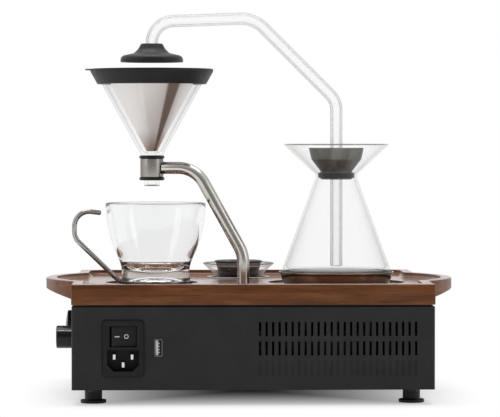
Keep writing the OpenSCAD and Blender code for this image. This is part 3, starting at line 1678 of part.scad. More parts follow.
module milk_stopper() {
    top = milk_rim_z + milk_stopper_rise;
    low = milk_neck_z - milk_lid_drop;
    seal_top = milk_neck_z + milk_seal_h;
    floor_in = seal_top + milk_lid_t;
    color(dark_steel) translate([milk_x, milk_y, 0]) lathe([
        [0, low, 0], [milk_plug_r, low, edge], [milk_plug_r, milk_neck_z, 0], [milk_groove_r, milk_neck_z, 0],
        [milk_groove_r, seal_top, 0], [milk_plug_r, seal_top, 0],
        [milk_stopper_r - edge, top - 2 * edge, fine_edge], [milk_stopper_r, top - edge, 0],
        [milk_stopper_r, top, fine_edge], [milk_stopper_r - milk_lid_t, top, fine_edge],
        [milk_plug_r - milk_lid_t, floor_in, soft_edge], [0, floor_in, 0]
    ]);
}

module milk_seal() {
    r = milk_bore_r - body_gap;
    seal_top = milk_neck_z + milk_seal_h;
    color(soft_black) translate([milk_x, milk_y, 0]) lathe([
        [milk_groove_r, milk_neck_z, 0], [r, milk_neck_z, soft_edge], [r, seal_top, soft_edge],
        [milk_groove_r, seal_top, 0]
    ]);
}

bottom_plate();
housing();
front_panel();
deck_plate();
tray();
feet();
foot_screws();
case_screws();
tray_screws();
inlet_body();
inlet_pins();
rocker();
usb_shell();
usb_tongue();
usb_board();
side_knob();
knob_shaft();
knob_encoder();
side_button();
button_switch();
heater_plate();
induction_coil();
coil_former();
fan_frame();
fan_rotor();
power_board();
board_parts();
heat_sink();
control_board();
milk_well();
cold_block();
cooling_tile();
cooler_sink();
display_lens();
display_board();
clock_figures();
drawer_box();
drawer_front();
drawer_runners();
speaker();
arm_tube();
arm_ring();
ring_grommet();
arm_nut();
dripper_glass();
dripper_collar();
mesh_filter();
jug_glass();
jug_base();
jug_seal();
stopper_bowl();
stopper_seal();
tube_seal();
pipe();
pipe_cap();
cup_glass();
cup_handle();
milk_glass();
milk_stopper();
milk_seal();
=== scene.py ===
import json
from math import acos, atan2, cos, pi, radians, sin, sqrt, tan

import bmesh
import bpy
from mathutils import Matrix, Vector


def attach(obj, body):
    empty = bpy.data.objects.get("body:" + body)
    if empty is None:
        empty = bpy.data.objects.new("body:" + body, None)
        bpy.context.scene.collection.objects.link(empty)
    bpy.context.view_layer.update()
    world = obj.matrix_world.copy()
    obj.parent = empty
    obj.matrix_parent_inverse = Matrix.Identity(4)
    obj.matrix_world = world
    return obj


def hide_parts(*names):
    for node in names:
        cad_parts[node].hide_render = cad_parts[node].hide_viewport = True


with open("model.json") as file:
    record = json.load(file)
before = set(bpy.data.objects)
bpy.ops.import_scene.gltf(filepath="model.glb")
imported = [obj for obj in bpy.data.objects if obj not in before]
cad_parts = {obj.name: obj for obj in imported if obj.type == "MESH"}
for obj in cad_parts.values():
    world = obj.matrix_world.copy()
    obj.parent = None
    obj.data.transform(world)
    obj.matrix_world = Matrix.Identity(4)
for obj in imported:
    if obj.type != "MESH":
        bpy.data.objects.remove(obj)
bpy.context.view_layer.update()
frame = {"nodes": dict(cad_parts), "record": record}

# Millimetres from here on: axes and places of pieces, then sizes and levels that several pieces share
MM = 0.001
ROW_Y = -12.0
JUG = Vector((71.5, ROW_Y, 0.0))
DRIP = Vector((-80.0, ROW_Y, 0.0))
CUP = Vector((-77.0, ROW_Y, 0.0))
MILK = Vector((-7.0, 72.0, 0.0))
ARM_FOOT = Vector((-5.5, -32.0, 0.0))
BODY_Y = 132.5
INLET = Vector((-101.95, -BODY_Y, 44.6))

TRAY_X, TRAY_Y = 142.5, 133.0
TRAY_LOW, TRAY_TOP, TRAY_FLOOR, SEAT = 78.5, 94.7, 90.7, 89.2
TRAY_RIM = 8.5
BULGE_R, BULGE_C, BULGE_Y, BULGE_OUT = 130.126, 36.874, 76.0, 24.5
CUP_LOW = SEAT + 0.1
JUG_LOW, NECK, JUG_RIM = 100.0, 178.5, 204.3
MILK_NECK, MILK_RIM = 92.7, 103.4
RING_LOW, RING_TOP = 176.9, 192.3
CONE_LOW, CONE_TOP = 195.1, 263.4
CONE_ROOT_R, CONE_LEAN = 9.0, radians(29.0)
FILTER_LIP, FILTER_TOP = 264.5, 265.7
TAB_HALF, TAB_ROOT, TAB_TIP = 7.0, 45.5, 54.5
PIPE_R, PIPE_BORE, PIPE_END = 5.0, 3.6, 275.2

STOOD = Matrix.Rotation(radians(90.0), 4, "X")


# Shader maths

class Value:
    """A socket that takes part in sums."""

    def __init__(self, look, socket):
        self.look = look
        self.socket = socket

    def __add__(self, other):
        return self.look.math("ADD", self, other)

    def __radd__(self, other):
        return self.look.math("ADD", other, self)

    def __sub__(self, other):
        return self.look.math("SUBTRACT", self, other)

    def __rsub__(self, other):
        return self.look.math("SUBTRACT", other, self)

    def __mul__(self, other):
        return self.look.math("MULTIPLY", self, other)

    def __lt__(self, other):
        return self.look.math("LESS_THAN", self, other)


class Look:
    """One finish: a material or the world, with its node tree."""

    def __init__(self, owner):
        self.owner = owner
        owner.use_nodes = True
        self.tree = owner.node_tree
        self.tree.nodes.clear()

    def node(self, kind, settings=None, sockets=None, out=0):
        """Makes a node and gives one of its outputs, or several if out is a tuple."""
        made = self.tree.nodes.new(kind)
        for name, value in (settings or {}).items():
            if name == "stops":
                ramp = made.color_ramp.elements
                while len(ramp) < len(value):
                    ramp.new(1.0)
                for stop, (place, colour) in zip(ramp, value):
                    stop.position = place
                    stop.color = (*colour, 1.0)
            else:
                setattr(made, name, value)
        for name, value in (sockets or {}).items():
            if isinstance(value, Value):
                self.tree.links.new(value.socket, made.inputs[name])
            else:
                made.inputs[name].default_value = value
        if isinstance(out, tuple):
            return [Value(self, made.outputs[name]) for name in out]
        return Value(self, made.outputs[out]) if made.outputs else None

    def math(self, operation, a, b=0.0):
        return self.node("ShaderNodeMath", {"operation": operation}, {0: a, 1: b})

    def place(self):
        return self.node("ShaderNodeTexCoord", out="Object")

    def parts(self, vector):
        return self.node("ShaderNodeSeparateXYZ", None, {0: vector}, out=(0, 1, 2))

    def stretched(self, scale):
        return self.node("ShaderNodeMapping", None, {"Vector": self.place(), "Scale": scale})

    def noise(self, vector, scale, detail=3.0, rough=0.5, distortion=0.0):
        return self.node("ShaderNodeTexNoise", None, {
            "Vector": vector, "Scale": scale, "Detail": detail, "Roughness": rough, "Distortion": distortion})

    def facing(self):
        return self.node("ShaderNodeLayerWeight", None, {"Blend": 0.5}, out="Facing")

    def span(self, value, low, high, to_low, to_high):
        return self.node("ShaderNodeMapRange", None, {
            "Value": value, "From Min": low, "From Max": high, "To Min": to_low, "To Max": to_high})

    def band(self, value, middle, inner, outer, strength):
        """Full strength within inner of the middle, fading to nothing at outer."""
        return self.span(self.math("ABSOLUTE", value - middle), inner, outer, strength, 0.0)

    def ramp(self, value, stops):
        return self.node("ShaderNodeValToRGB", {"stops": stops}, {"Fac": value})

    def tint(self, mask, a, b):
        return self.node("ShaderNodeMix", {"data_type": "RGBA"}, {0: mask, 6: a, 7: b}, out=2)

    def round_edges(self, radius):
        return self.node("ShaderNodeBevel", {"samples": 6}, {"Radius": radius * MM})

    def bump(self, height, depth, normal=None):
        sockets = {"Height": height, "Distance": depth * MM, "Strength": 1.0}
        if normal is not None:
            sockets["Normal"] = normal
        return self.node("ShaderNodeBump", None, sockets)

    def surface(self, **sockets):
        """Shows a Principled shader; base_color stands for its Base Color socket, and so on."""
        names = {key.replace("_", " ").title().replace("Ior", "IOR"): value for key, value in sockets.items()}
        self.show(self.node("ShaderNodeBsdfPrincipled", None, names))

    def show(self, shader):
        self.node("ShaderNodeOutputMaterial", None, {"Surface": shader})


def finish_named(name):
    return Look(bpy.data.materials.new(name))


def rgb(r, g, b):
    return (r, g, b, 1.0)


def toned(colour, factor):
    return rgb(*(c * factor for c in colour))


# Finishes

def walnut():
    look = finish_named("walnut_oiled")
    bands = look.noise(look.stretched((5.0, 42.0, 42.0)), 3.2, 4.0, 0.55, 0.6)
    fibre = look.noise(look.stretched((24.0, 620.0, 620.0)), 1.0, 3.0, 0.6)
    pores = look.noise(look.stretched((60.0, 1500.0, 1500.0)), 1.0, 2.0, 0.5)
    colour = look.ramp(bands * 0.75 + fibre * 0.25, [
        (0.30, (0.075, 0.025, 0.009)), (0.46, (0.130, 0.045, 0.016)),
        (0.56, (0.175, 0.062, 0.022)), (0.72, (0.245, 0.090, 0.034))])
    colour = look.tint(look.span(pores, 0.56, 0.68, 0.0, 0.5), colour, rgb(0.050, 0.017, 0.007))
    upward = look.parts(look.node("ShaderNodeNewGeometry", out="Normal"))[2]
    look.surface(
        base_color=colour, roughness=look.span(fibre, 0.3, 0.7, 0.34, 0.48), specular_ior_level=0.2,
        specular_tint=rgb(1.0, 0.82, 0.70),
        normal=look.bump(fibre * 0.6 + pores * -0.4, 0.05, look.round_edges(0.5)),
        coat_weight=look.span(upward, 0.4, 0.9, 0.05, 0.6), coat_roughness=0.09)
    return look.owner


def powder_coat(name, colour, rough, grain=0.06, edge=0.5):
    look = finish_named(name)
    speck = look.noise(look.place(), 1400.0, 2.0, 0.5)
    cloud = look.noise(look.place(), 30.0, 3.0, 0.5)
    look.surface(
        base_color=look.tint(look.span(cloud, 0.3, 0.7, 0.0, 1.0), rgb(*colour), toned(colour, 1.35)),
        roughness=look.span(speck, 0.3, 0.7, rough - 0.06, rough + 0.06), specular_ior_level=0.2,
        normal=look.bump(speck, grain, look.round_edges(edge)))
    return look.owner


def rubber(name, colour):
    look = finish_named(name)
    dust = look.noise(look.place(), 260.0, 4.0, 0.6)
    look.surface(
        base_color=look.tint(look.span(dust, 0.45, 0.75, 0.0, 0.5), rgb(*colour), rgb(0.021, 0.021, 0.0205)),
        roughness=look.span(dust, 0.3, 0.7, 0.42, 0.55), specular_ior_level=0.3,
        normal=look.bump(dust, 0.03, look.round_edges(0.4)))
    return look.owner


def gloss_black():
    look = finish_named("gloss_black")
    haze = look.noise(look.place(), 90.0, 3.0, 0.5)
    look.surface(
        base_color=look.tint(haze, rgb(0.008, 0.008, 0.0085), rgb(0.013, 0.013, 0.0135)),
        roughness=look.span(haze, 0.3, 0.7, 0.22, 0.30), specular_ior_level=0.3,
        normal=look.round_edges(0.4))
    return look.owner


def clear_glass(name, reach, edge, shaded_rims=(), painted_glints=()):
    """Thin blown glass: nearly nothing face-on. Painted shade: its colour turns dark grey where the wall
    turns away from the view and along lines at the rim heights; painted highlights are whitish bands at the
    glint heights.
    """
    look = finish_named(name)
    ripple = look.noise(look.place(), 45.0, 2.0, 0.4)
    z = look.parts(look.place())[2]
    # painted shade: darker grey as the wall turns away from the view
    cover = look.math("POWER", look.facing(), reach)
    # painted shade: dark lines at the rim heights
    for rim in shaded_rims:
        cover = look.math("MAXIMUM", cover, look.band(z, rim * MM, 0.4 * MM, 1.1 * MM, 0.95))
    shade = look.tint(cover, rgb(0.84, 0.86, 0.86), rgb(0.10, 0.10, 0.10))
    # painted highlights: whitish bands at the glint heights
    for glint in painted_glints:
        painted_glint = look.band(z, glint * MM, 0.3 * MM, 0.9 * MM, 0.5)
        shade = look.tint(painted_glint * 2.0, shade, rgb(0.92, 0.92, 0.92))
        cover = look.math("MAXIMUM", cover, painted_glint)
    look.surface(
        base_color=shade, roughness=look.span(ripple, 0.3, 0.7, 0.02, 0.05),
        alpha=look.span(cover, 0.0, 1.0, 0.03, edge))
    return look.owner


def thick_glass():
    """Glass thick enough to bend the view, as in the foot of the cup."""
    look = finish_named("thick_glass")
    ripple = look.noise(look.place(), 45.0, 2.0, 0.4)
    shader = look.node("ShaderNodeBsdfPrincipled", None, {
        "Base Color": rgb(0.95, 0.955, 0.955), "Roughness": 0.0, "IOR": 1.46, "Transmission Weight": 1.0,
        "Normal": look.bump(ripple, 0.02)})
    clear = look.node("ShaderNodeBsdfTransparent", None, {"Color": rgb(0.95, 0.95, 0.95)})
    shadow = look.node("ShaderNodeLightPath", out="Is Shadow Ray")
    look.show(look.node("ShaderNodeMixShader", None, {0: shadow, 1: shader, 2: clear}))
    return look.owner


def brushed(name, colour, rough, across, streak=0.12, edge=0.75, painted_shade_below=None):
    """Steel with fine lines, which run along the small number of across.

    It has painted shade: its colour darkens where it turns away from the view, and goes dark below two given
    heights.
    """
    look = finish_named(name)
    lines = look.noise(look.stretched(across), 1.0, 3.0, 0.65)
    cloud = look.noise(look.place(), 25.0, 2.0, 0.5)
    tone = look.tint(look.span(lines, 0.3, 0.7, 0.0, 1.0), toned(colour, 1.0 - streak), rgb(*colour))
    if painted_shade_below:
        z = look.parts(look.place())[2]
        # painted shade: near black below the lower height, fading out by the upper one
        tone = look.tint(look.span(z, painted_shade_below[0] * MM, painted_shade_below[1] * MM, 1.0, 0.0), tone, toned(colour, 0.06))
    look.surface(
        # painted shade: darker where the surface turns away from the view
        base_color=look.tint(look.span(look.facing(), 0.15, 0.75, 0.0, edge), tone, toned(colour, 0.2)),
        metallic=1.0, roughness=look.span(lines * 0.7 + cloud * 0.3, 0.3, 0.7, rough - 0.07, rough + 0.07),
        normal=look.bump(lines, 0.02, look.round_edges(0.3)))
    return look.owner


def polished(name, low, high, edge=0.0):
    look = finish_named(name)
    haze = look.noise(look.place(), 60.0, 3.0, 0.5)
    tone = look.tint(haze, rgb(*low), rgb(*high))
    look.surface(
        # painted shade: darker where the surface turns away from the view, as much as edge asks
        base_color=look.tint(look.span(look.facing(), 0.2, 0.75, 0.0, edge), tone, toned(low, 0.15)),
        metallic=1.0, roughness=look.span(haze, 0.3, 0.7, 0.09, 0.16), normal=look.round_edges(0.25))
    return look.owner


def filter_mesh():
    """Etched steel cone with rows of tiny holes that follow it round.

    It is browner and darker towards the bottom and has a dark tab. A brown streak down it is painted
    reflection of the walnut, and a bright streak a painted highlight.
    """
    look = finish_named("filter_mesh")
    hole_pitch, holes_round, mesh_top = 1.1 * MM, 150.0, 264.0 * MM
    brown_low, brown_top = 201.0 * MM, 216.0 * MM
    tab_from, tab_to = (DRIP.x - 49.0) * MM, (DRIP.x - 47.5) * MM
    reflection_streak_at, highlight_streak_at = -57.0, -106.0
    x, y, z = look.parts(look.place())
    turn = look.math("ARCTAN2", y - ROW_Y * MM, x - DRIP.x * MM)
    row = look.math("SINE", z * (2.0 * pi / hole_pitch))
    column = look.math("SINE", turn * holes_round)
    below_rim = z < mesh_top
    hole = look.span(row * column, 0.1, 0.6, 0.0, 1.0) * below_rim
    wear = look.noise(look.place(), 40.0, 3.0, 0.5)

    def streak(at, inner, outer):
        return look.band(turn, radians(at), radians(inner), radians(outer), 1.0) * below_rim

    sheet = look.tint(wear, rgb(0.91, 0.885, 0.865), rgb(0.97, 0.95, 0.93))
    # painted highlight: a bright streak down the cone
    sheet = look.tint(streak(highlight_streak_at, 1.5, 4.0) * 0.8, sheet, rgb(1.0, 0.99, 0.98))
    # browner and darker towards the bottom
    sheet = look.tint(look.span(z, brown_low, brown_top, 0.75, 0.0), sheet, rgb(0.30, 0.15, 0.08))
    # painted reflection: a brown streak of the walnut down the cone
    sheet = look.tint(streak(reflection_streak_at, 7.5, 12.0) * 0.95, sheet, rgb(0.17, 0.085, 0.045))
    tab = look.span(x, tab_from, tab_to, 1.0, 0.0)
    sheet = look.tint(tab, sheet, rgb(0.10, 0.095, 0.09))
    look.surface(
        base_color=look.tint(hole * 0.3, sheet, rgb(0.45, 0.41, 0.38)),
        metallic=0.65, roughness=look.span(wear, 0.3, 0.7, 0.30, 0.40) + hole * 0.12,
        normal=look.bump(hole * -1.0, 0.08))
    return look.owner


def black_glass(name, cover=1.0):
    look = finish_named(name)
    haze = look.noise(look.place(), 70.0, 3.0, 0.5)
    look.surface(
        base_color=look.tint(haze, rgb(0.010, 0.010, 0.011), rgb(0.016, 0.016, 0.017)),
        roughness=look.span(haze, 0.3, 0.7, 0.07, 0.13), coat_weight=0.5, coat_roughness=0.03, alpha=cover)
    return look.owner


def lit_figures():
    look = finish_named("clock_figures")
    glow = look.noise(look.place(), 120.0, 2.0, 0.5)
    colour = look.tint(glow, rgb(0.80, 0.86, 0.92), rgb(0.90, 0.94, 0.97))
    look.surface(base_color=colour, roughness=0.5, emission_color=colour, emission_strength=0.6)
    return look.owner


def plain_plastic(name, a, b, rough):
    look = finish_named(name)
    speck = look.noise(look.place(), 420.0, 3.0, 0.5)
    look.surface(
        base_color=look.tint(look.span(speck, 0.3, 0.7, 0.0, 1.0), rgb(*a), rgb(*b)),
        roughness=look.span(speck, 0.3, 0.7, rough - 0.05, rough + 0.05),
        normal=look.bump(speck, 0.02, look.round_edges(0.3)))
    return look.owner


def wound_copper():
    """Wire wound flat about the jug's axis."""
    look = finish_named("wound_copper")
    wire_pitch = 1.8 * MM
    x, y = look.parts(look.place())[:2]
    dx = x - JUG.x * MM
    dy = y - ROW_Y * MM
    wire = look.math("SINE", look.math("SQRT", dx * dx + dy * dy) * (2.0 * pi / wire_pitch))
    # painted shade: the grooves between the turns are coloured darker than the crests
    crest = look.span(wire, -1.0, 1.0, 0.0, 1.0)
    look.surface(
        base_color=look.tint(crest, rgb(0.20, 0.075, 0.028), rgb(0.55, 0.24, 0.10)),
        metallic=1.0, roughness=0.36, normal=look.bump(wire, 0.35))
    return look.owner


def circuit_board():
    look = finish_named("circuit_board")
    trace = look.node(
        "ShaderNodeTexVoronoi", {"feature": "DISTANCE_TO_EDGE"}, {"Vector": look.place(), "Scale": 260.0})
    line = look.span(trace, 0.03, 0.06, 1.0, 0.0)
    look.surface(
        base_color=look.tint(line, rgb(0.012, 0.075, 0.035), rgb(0.03, 0.15, 0.075)),
        roughness=look.span(line, 0.0, 1.0, 0.42, 0.3))
    return look.owner


ACROSS_X, ALONG_Z = (900.0, 40.0, 40.0), (700.0, 700.0, 30.0)
ROUND_Z = (40.0, 40.0, 900.0)
FINISHES = {
    "walnut": walnut(),
    "body_black": powder_coat("body_black", (0.021, 0.021, 0.0215), 0.42),
    "black_plastic": powder_coat("black_plastic", (0.011, 0.011, 0.0115), 0.38, 0.03, 0.3),
    "black_rubber": rubber("black_rubber", (0.011, 0.011, 0.0115)),
    # painted shade: the near-black ring round the inlet plate
    "shadow_ring_black": rubber("shadow_ring_black", (0.002, 0.002, 0.002)),
    "gloss_black": gloss_black(),
    "clear_glass": clear_glass("clear_glass", 3.0, 0.45),
    # cone, jug and milk glass: painted dark lines at the given rim heights; the milk glass also has a painted
    # highlight band
    "cone_glass": clear_glass("cone_glass", 3.0, 0.45, (170.0,)),
    "jug_glass": clear_glass("jug_glass", 3.0, 0.42, (100.3, 204.0)),
    "milk_glass": clear_glass("milk_glass", 4.0, 0.85, (103.0,), (101.1,)),
    "tube_glass": clear_glass("tube_glass", 1.7, 0.95),
    "thick_glass": thick_glass(),
    "brushed_steel": brushed("brushed_steel", (0.64, 0.61, 0.57), 0.22, ROUND_Z),
    "polished_steel": polished("polished_steel", (0.66, 0.655, 0.64), (0.74, 0.735, 0.72)),
    "dark_steel": brushed("dark_steel", (0.28, 0.275, 0.265), 0.32, ALONG_Z),
    # painted shade: darker where the handle turns away from the view
    "handle_steel": polished("handle_steel", (0.40, 0.392, 0.378), (0.47, 0.462, 0.448), 1.0),
    # painted shade: darker where the arm turns away from the view
    "arm_steel": brushed("arm_steel", (0.74, 0.71, 0.66), 0.19, ROUND_Z, edge=1.0),
    # painted shade: a darker copy of the arm's steel, darkest where it turns away from the view
    "ring_steel": brushed("ring_steel", (0.42, 0.40, 0.37), 0.24, ROUND_Z, edge=0.9),
    # painted shade: near black below the lip, fading out above it, and darker where it turns away
    "lid_steel": brushed("lid_steel", (0.20, 0.19, 0.175), 0.30, ALONG_Z, painted_shade_below=(101.8, 102.6)),
    # painted reflection: broad, strong vertical streaks stand in for streaky reflections; painted shade where
    # it turns away
    "stopper_steel": brushed("stopper_steel", (0.24, 0.232, 0.207), 0.45, (120.0, 120.0, 5.0), 0.7, 0.95),
    # painted reflection: steel tinted brown for the walnut it mirrors, and darker where it turns away
    "foot_steel": polished("foot_steel", (0.44, 0.37, 0.32), (0.50, 0.43, 0.38), 0.97),
    "socket_steel": polished("socket_steel", (0.20, 0.20, 0.195), (0.27, 0.27, 0.265)),
    "filter_steel": filter_mesh(),
    "black_glass": black_glass("black_glass"),
    "dark_lens": black_glass("dark_lens", 0.45),
    "figure_white": lit_figures(),
    "white_plastic": plain_plastic("white_plastic", (0.70, 0.70, 0.68), (0.80, 0.80, 0.78), 0.42),
    "tile_white": plain_plastic("cooling_tile", (0.72, 0.72, 0.70), (0.80, 0.80, 0.79), 0.5),
    "copper": wound_copper(),
    "board_green": circuit_board(),
    "parts_dark": plain_plastic("board_parts", (0.02, 0.026, 0.045), (0.035, 0.042, 0.065), 0.35),
    "bare_aluminium": brushed("bare_aluminium", (0.60, 0.61, 0.62), 0.38, ACROSS_X),
}
OWN_FINISH = {
    "drip_cone": "cone_glass", "boiling_jug": "jug_glass", "milk_pitcher": "milk_glass",
    "glass_pipe": "tube_glass", "coffee_cup": "thick_glass", "cup_rod_handle": "handle_steel",
    "milk_plug": "lid_steel", "arm_end_ring": "ring_steel", "steel_stopper": "stopper_steel",
    "steel_arm": "arm_steel", "jug_foot": "foot_steel", "usb_shell": "socket_steel",
    "inlet_shadow_ring": "shadow_ring_black"}
NODE_SLOT = {part["node"]: part["material_slot"] for part in frame["record"]["subparts"]}
for node, obj in frame["nodes"].items():
    obj.data.materials.clear()
    obj.data.materials.append(FINISHES[OWN_FINISH.get(node, NODE_SLOT[node])])


# Making pieces

def make_piece(name, bm, body, slot, stands_for=(), sharp=35.0):
    """A mesh from millimetres, riding on a body, with the finish of its slot or one of its own."""
    bmesh.ops.scale(bm, vec=(MM, MM, MM), verts=bm.verts)
    mesh = bpy.data.meshes.new(name)
    bm.to_mesh(mesh)
    bm.free()
    for face in mesh.polygons:
        face.use_smooth = True
    mesh.set_sharp_from_angle(angle=radians(sharp))
    obj = bpy.data.objects.new(name, mesh)
    bpy.context.scene.collection.objects.link(obj)
    mesh.materials.append(FINISHES[OWN_FINISH.get(name, slot)])
    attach(obj, body)
    if stands_for:
        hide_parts(*stands_for)


def clean(bm):
    bmesh.ops.remove_doubles(bm, verts=bm.verts, dist=0.002)
    bmesh.ops.recalc_face_normals(bm, faces=bm.faces)


def only_verts(geom):
    return [g for g in geom if isinstance(g, bmesh.types.BMVert)]


def ring_edges(verts):
    inside = set(verts)
    found = {edge for vert in verts for edge in vert.link_edges}
    return [edge for edge in found if edge.verts[0] in inside and edge.verts[1] in inside]


def carried_ring(bm, path, bends, radius, sides):
    """Carries a ring along straight runs and spins it through each bend; gives the first and last ring."""
    points = [Vector(p) for p in path]
    ahead = (points[1] - points[0]).normalized()
    placed = Matrix.Translation(points[0]) @ ahead.to_track_quat("Z", "Y").to_matrix().to_4x4()
    first = bmesh.ops.create_circle(bm, cap_ends=False, segments=sides, radius=radius, matrix=placed)["verts"]
    edges = ring_edges(first)
    at = points[0]
    for i in range(1, len(points)):
        ahead = (points[i] - points[i - 1]).normalized()
        last = i == len(points) - 1
        if last:
            end = points[i]
        else:
            onward = (points[i + 1] - points[i]).normalized()
            turn = ahead.angle(onward)
            axis = ahead.cross(onward).normalized()
            cut_back = bends[i - 1] * tan(turn / 2.0)
            end = points[i] - ahead * cut_back
        verts = only_verts(bmesh.ops.extrude_edge_only(bm, edges=edges)["geom"])
        bmesh.ops.translate(bm, vec=end - at, verts=verts)
        edges = ring_edges(verts)
        at = end
        if not last:
            middle = end + axis.cross(ahead) * bends[i - 1]
            steps = max(6, round(turn / radians(4.0)))
            spun = bmesh.ops.spin(
                bm, geom=verts + edges, cent=middle, axis=axis, angle=turn, steps=steps, use_merge=False,
                use_duplicate=False)["geom_last"]
            verts = only_verts(spun)
            edges = ring_edges(verts)
            at = points[i] + onward * cut_back
    return first, verts


def soften(bm, edges, radius, segments=3):
    bmesh.ops.bevel(
        bm, geom=edges, offset=radius, affect="EDGES", segments=segments, profile=0.5, material=-1)


def bent_tube(path, bends, radius, bore, sides=48):
    bm = bmesh.new()
    outer = carried_ring(bm, path, bends, radius, sides)
    inner = carried_ring(bm, path, bends, bore, sides)
    for a, b in zip(outer, inner):
        bmesh.ops.bridge_loops(bm, edges=ring_edges(a) + ring_edges(b))
    soften(bm, [edge for a in outer for edge in ring_edges(a)], (radius - bore) * 0.35)
    clean(bm)
    return bm


def rectangle(x0, y0, x1, y1):
    return [(x0, y0), (x1, y0), (x1, y1), (x0, y1)]


def prism(points, low, high):
    """A solid that stands on an outline."""
    bm = bmesh.new()
    face = bm.faces.new([bm.verts.new((x, y, low)) for x, y in points])
    raised = only_verts(bmesh.ops.extrude_face_region(bm, geom=[face])["geom"])
    bmesh.ops.translate(bm, vec=(0.0, 0.0, high - low), verts=raised)
    bmesh.ops.recalc_face_normals(bm, faces=bm.faces)
    return bm


def upright_edges(bm):
    return [e for e in bm.edges if abs(e.verts[0].co.z - e.verts[1].co.z) > 0.1]


def level_edges(bm, z):
    """The edges round a flat face at a height."""
    return [e for e in bm.edges if all(abs(v.co.z - z) < 1e-4 for v in e.verts)
            and len(e.link_faces) == 2 and e.calc_face_angle(0.0) > radians(30.0)]


def drum(centre, radius, low, high, sides=96):
    bm = bmesh.new()
    placed = Matrix.Translation((centre.x, centre.y, (low + high) / 2.0))
    bmesh.ops.create_cone(
        bm, cap_ends=True, segments=sides, radius1=radius, radius2=radius, depth=high - low, matrix=placed)
    return bm


def arc(cx, cy, radius, start, end, steps):
    angles = [start + (end - start) * i / steps for i in range(steps + 1)]
    return [(cx + radius * cos(a), cy + radius * sin(a)) for a in angles]


def bezier(a, b, c, d, steps=28):
    a, b, c, d = (Vector(p) for p in (a, b, c, d))
    return [(a * (1 - t) ** 3 + b * (3 * t * (1 - t) ** 2) + c * (3 * t * t * (1 - t)) + d * t ** 3)
            for t in (i / steps for i in range(steps + 1))]


def eased(profile, steps=8):
    """Rounds the corners of a profile of (reach, height, corner radius); a corner of radius 0 stays."""
    points = []
    count = len(profile)
    for i, (x, z, r) in enumerate(profile):
        here = Vector((x, z))
        if r <= 0.0:
            points.append(here)
            continue
        back = (Vector(profile[i - 1][:2]) - here).normalized()
        onward = (Vector(profile[(i + 1) % count][:2]) - here).normalized()
        half = back.angle(onward) / 2.0
        middle = here + (back + onward).normalized() * (r / sin(half))
        start = here + back * (r / tan(half)) - middle
        end = here + onward * (r / tan(half)) - middle
        turn = start.angle_signed(end)
        points += [middle + Matrix.Rotation(-turn * k / steps, 2) @ start for k in range(steps + 1)]
    return points


def turned(profile, axis, sides=128):
    """A profile spun about an upright axis: closed if it stays clear of the axis."""
    bm = bmesh.new()
    verts = [bm.verts.new((axis.x + p.x, axis.y, p.y)) for p in profile]
    closed = min(p.x for p in profile) > 1e-6
    onward = verts[1:] + verts[:1] if closed else verts[1:]
    edges = [bm.edges.new(pair) for pair in zip(verts, onward)]
    bmesh.ops.spin(
        bm, geom=verts + edges, cent=axis, axis=(0.0, 0.0, 1.0), angle=2.0 * pi, steps=sides, use_merge=True)
    clean(bm)
    return bm


def joined(bm, other):
    """Adds one solid to another's mesh."""
    mesh = bpy.data.meshes.new("joined")
    other.to_mesh(mesh)
    other.free()
    bm.from_mesh(mesh)
    bpy.data.meshes.remove(mesh)


def carve(name, bm, tools):
    """Cuts the tools out of a solid and gives the result as a bmesh."""
    def temp(made, label):
        mesh = bpy.data.meshes.new(label)
        made.to_mesh(mesh)
        made.free()
        obj = bpy.data.objects.new(label, mesh)
        bpy.context.scene.collection.objects.link(obj)
        return obj

    block = temp(bm, name + "_block")
    cutters = [temp(tool, name + "_cut") for tool in tools]
    for cutter in cutters:
        cut = block.modifiers.new("cut", "BOOLEAN")
        cut.operation = "DIFFERENCE"
        cut.solver = "EXACT"
        cut.object = cutter
    seen = block.evaluated_get(bpy.context.evaluated_depsgraph_get())
    result = bmesh.new()
    result.from_mesh(seen.to_mesh())
    seen.to_mesh_clear()
    for obj in [block] + cutters:
        mesh = obj.data
        bpy.data.objects.remove(obj)
        bpy.data.meshes.remove(mesh)
    return result


# Tray

def tray_block():
    half = atan2(BULGE_Y, TRAY_X - BULGE_C)
    right = arc(BULGE_C, 0.0, BULGE_R, -half, half, 40)
    left = [(-x, -y) for x, y in right]
    block = prism(
        [(TRAY_X, -TRAY_Y)] + right + [(TRAY_X, TRAY_Y), (-TRAY_X, TRAY_Y)] + left + [(-TRAY_X, -TRAY_Y)],
        TRAY_LOW, TRAY_TOP)
    soften(block, [e for e in upright_edges(block) if abs(abs(e.verts[0].co.y) - TRAY_Y) < 1e-3], 1.2)
    soften(block, level_edges(block, TRAY_TOP), 1.1)
    soften(block, level_edges(block, TRAY_LOW), 0.5, 2)
    return block


def tray_recess(over):
    """The sunk floor, which follows the bulges at a rim's distance."""
    x, y, corner = TRAY_X - TRAY_RIM, TRAY_Y - TRAY_RIM, 12.0
    reach = BULGE_R - TRAY_RIM
    half = acos((x - BULGE_C) / reach)
    outline = arc(x - corner, corner - y, corner, -pi / 2, 0.0, 10)
    outline += arc(BULGE_C, 0.0, reach, -half, half, 40)
    outline += arc(x - corner, y - corner, corner, 0.0, pi / 2, 10)
    outline += [(-px, -py) for px, py in outline]
    floor = prism(outline, TRAY_FLOOR, over)
    soften(floor, level_edges(floor, TRAY_FLOOR), 3.4, 6)
    return floor


def bulge_underside(side, under):
    """What is cut away below a bulge, so that it thins outwards."""
    root, tip, beyond = TRAY_X + 0.01, TRAY_X + BULGE_OUT, TRAY_X + 40.0
    root_z, tip_z, beyond_z = TRAY_LOW + 1.2, TRAY_LOW + 8.0, TRAY_LOW + 12.3
    outline = [(root, under), (root, root_z), (tip, tip_z), (beyond, beyond_z), (beyond, under)]
    reach = TRAY_Y + 5.0
    wedge = prism([(side * x, z) for x, z in outline], -reach, reach)
    bmesh.ops.transform(wedge, matrix=STOOD, verts=wedge.verts)
    return wedge


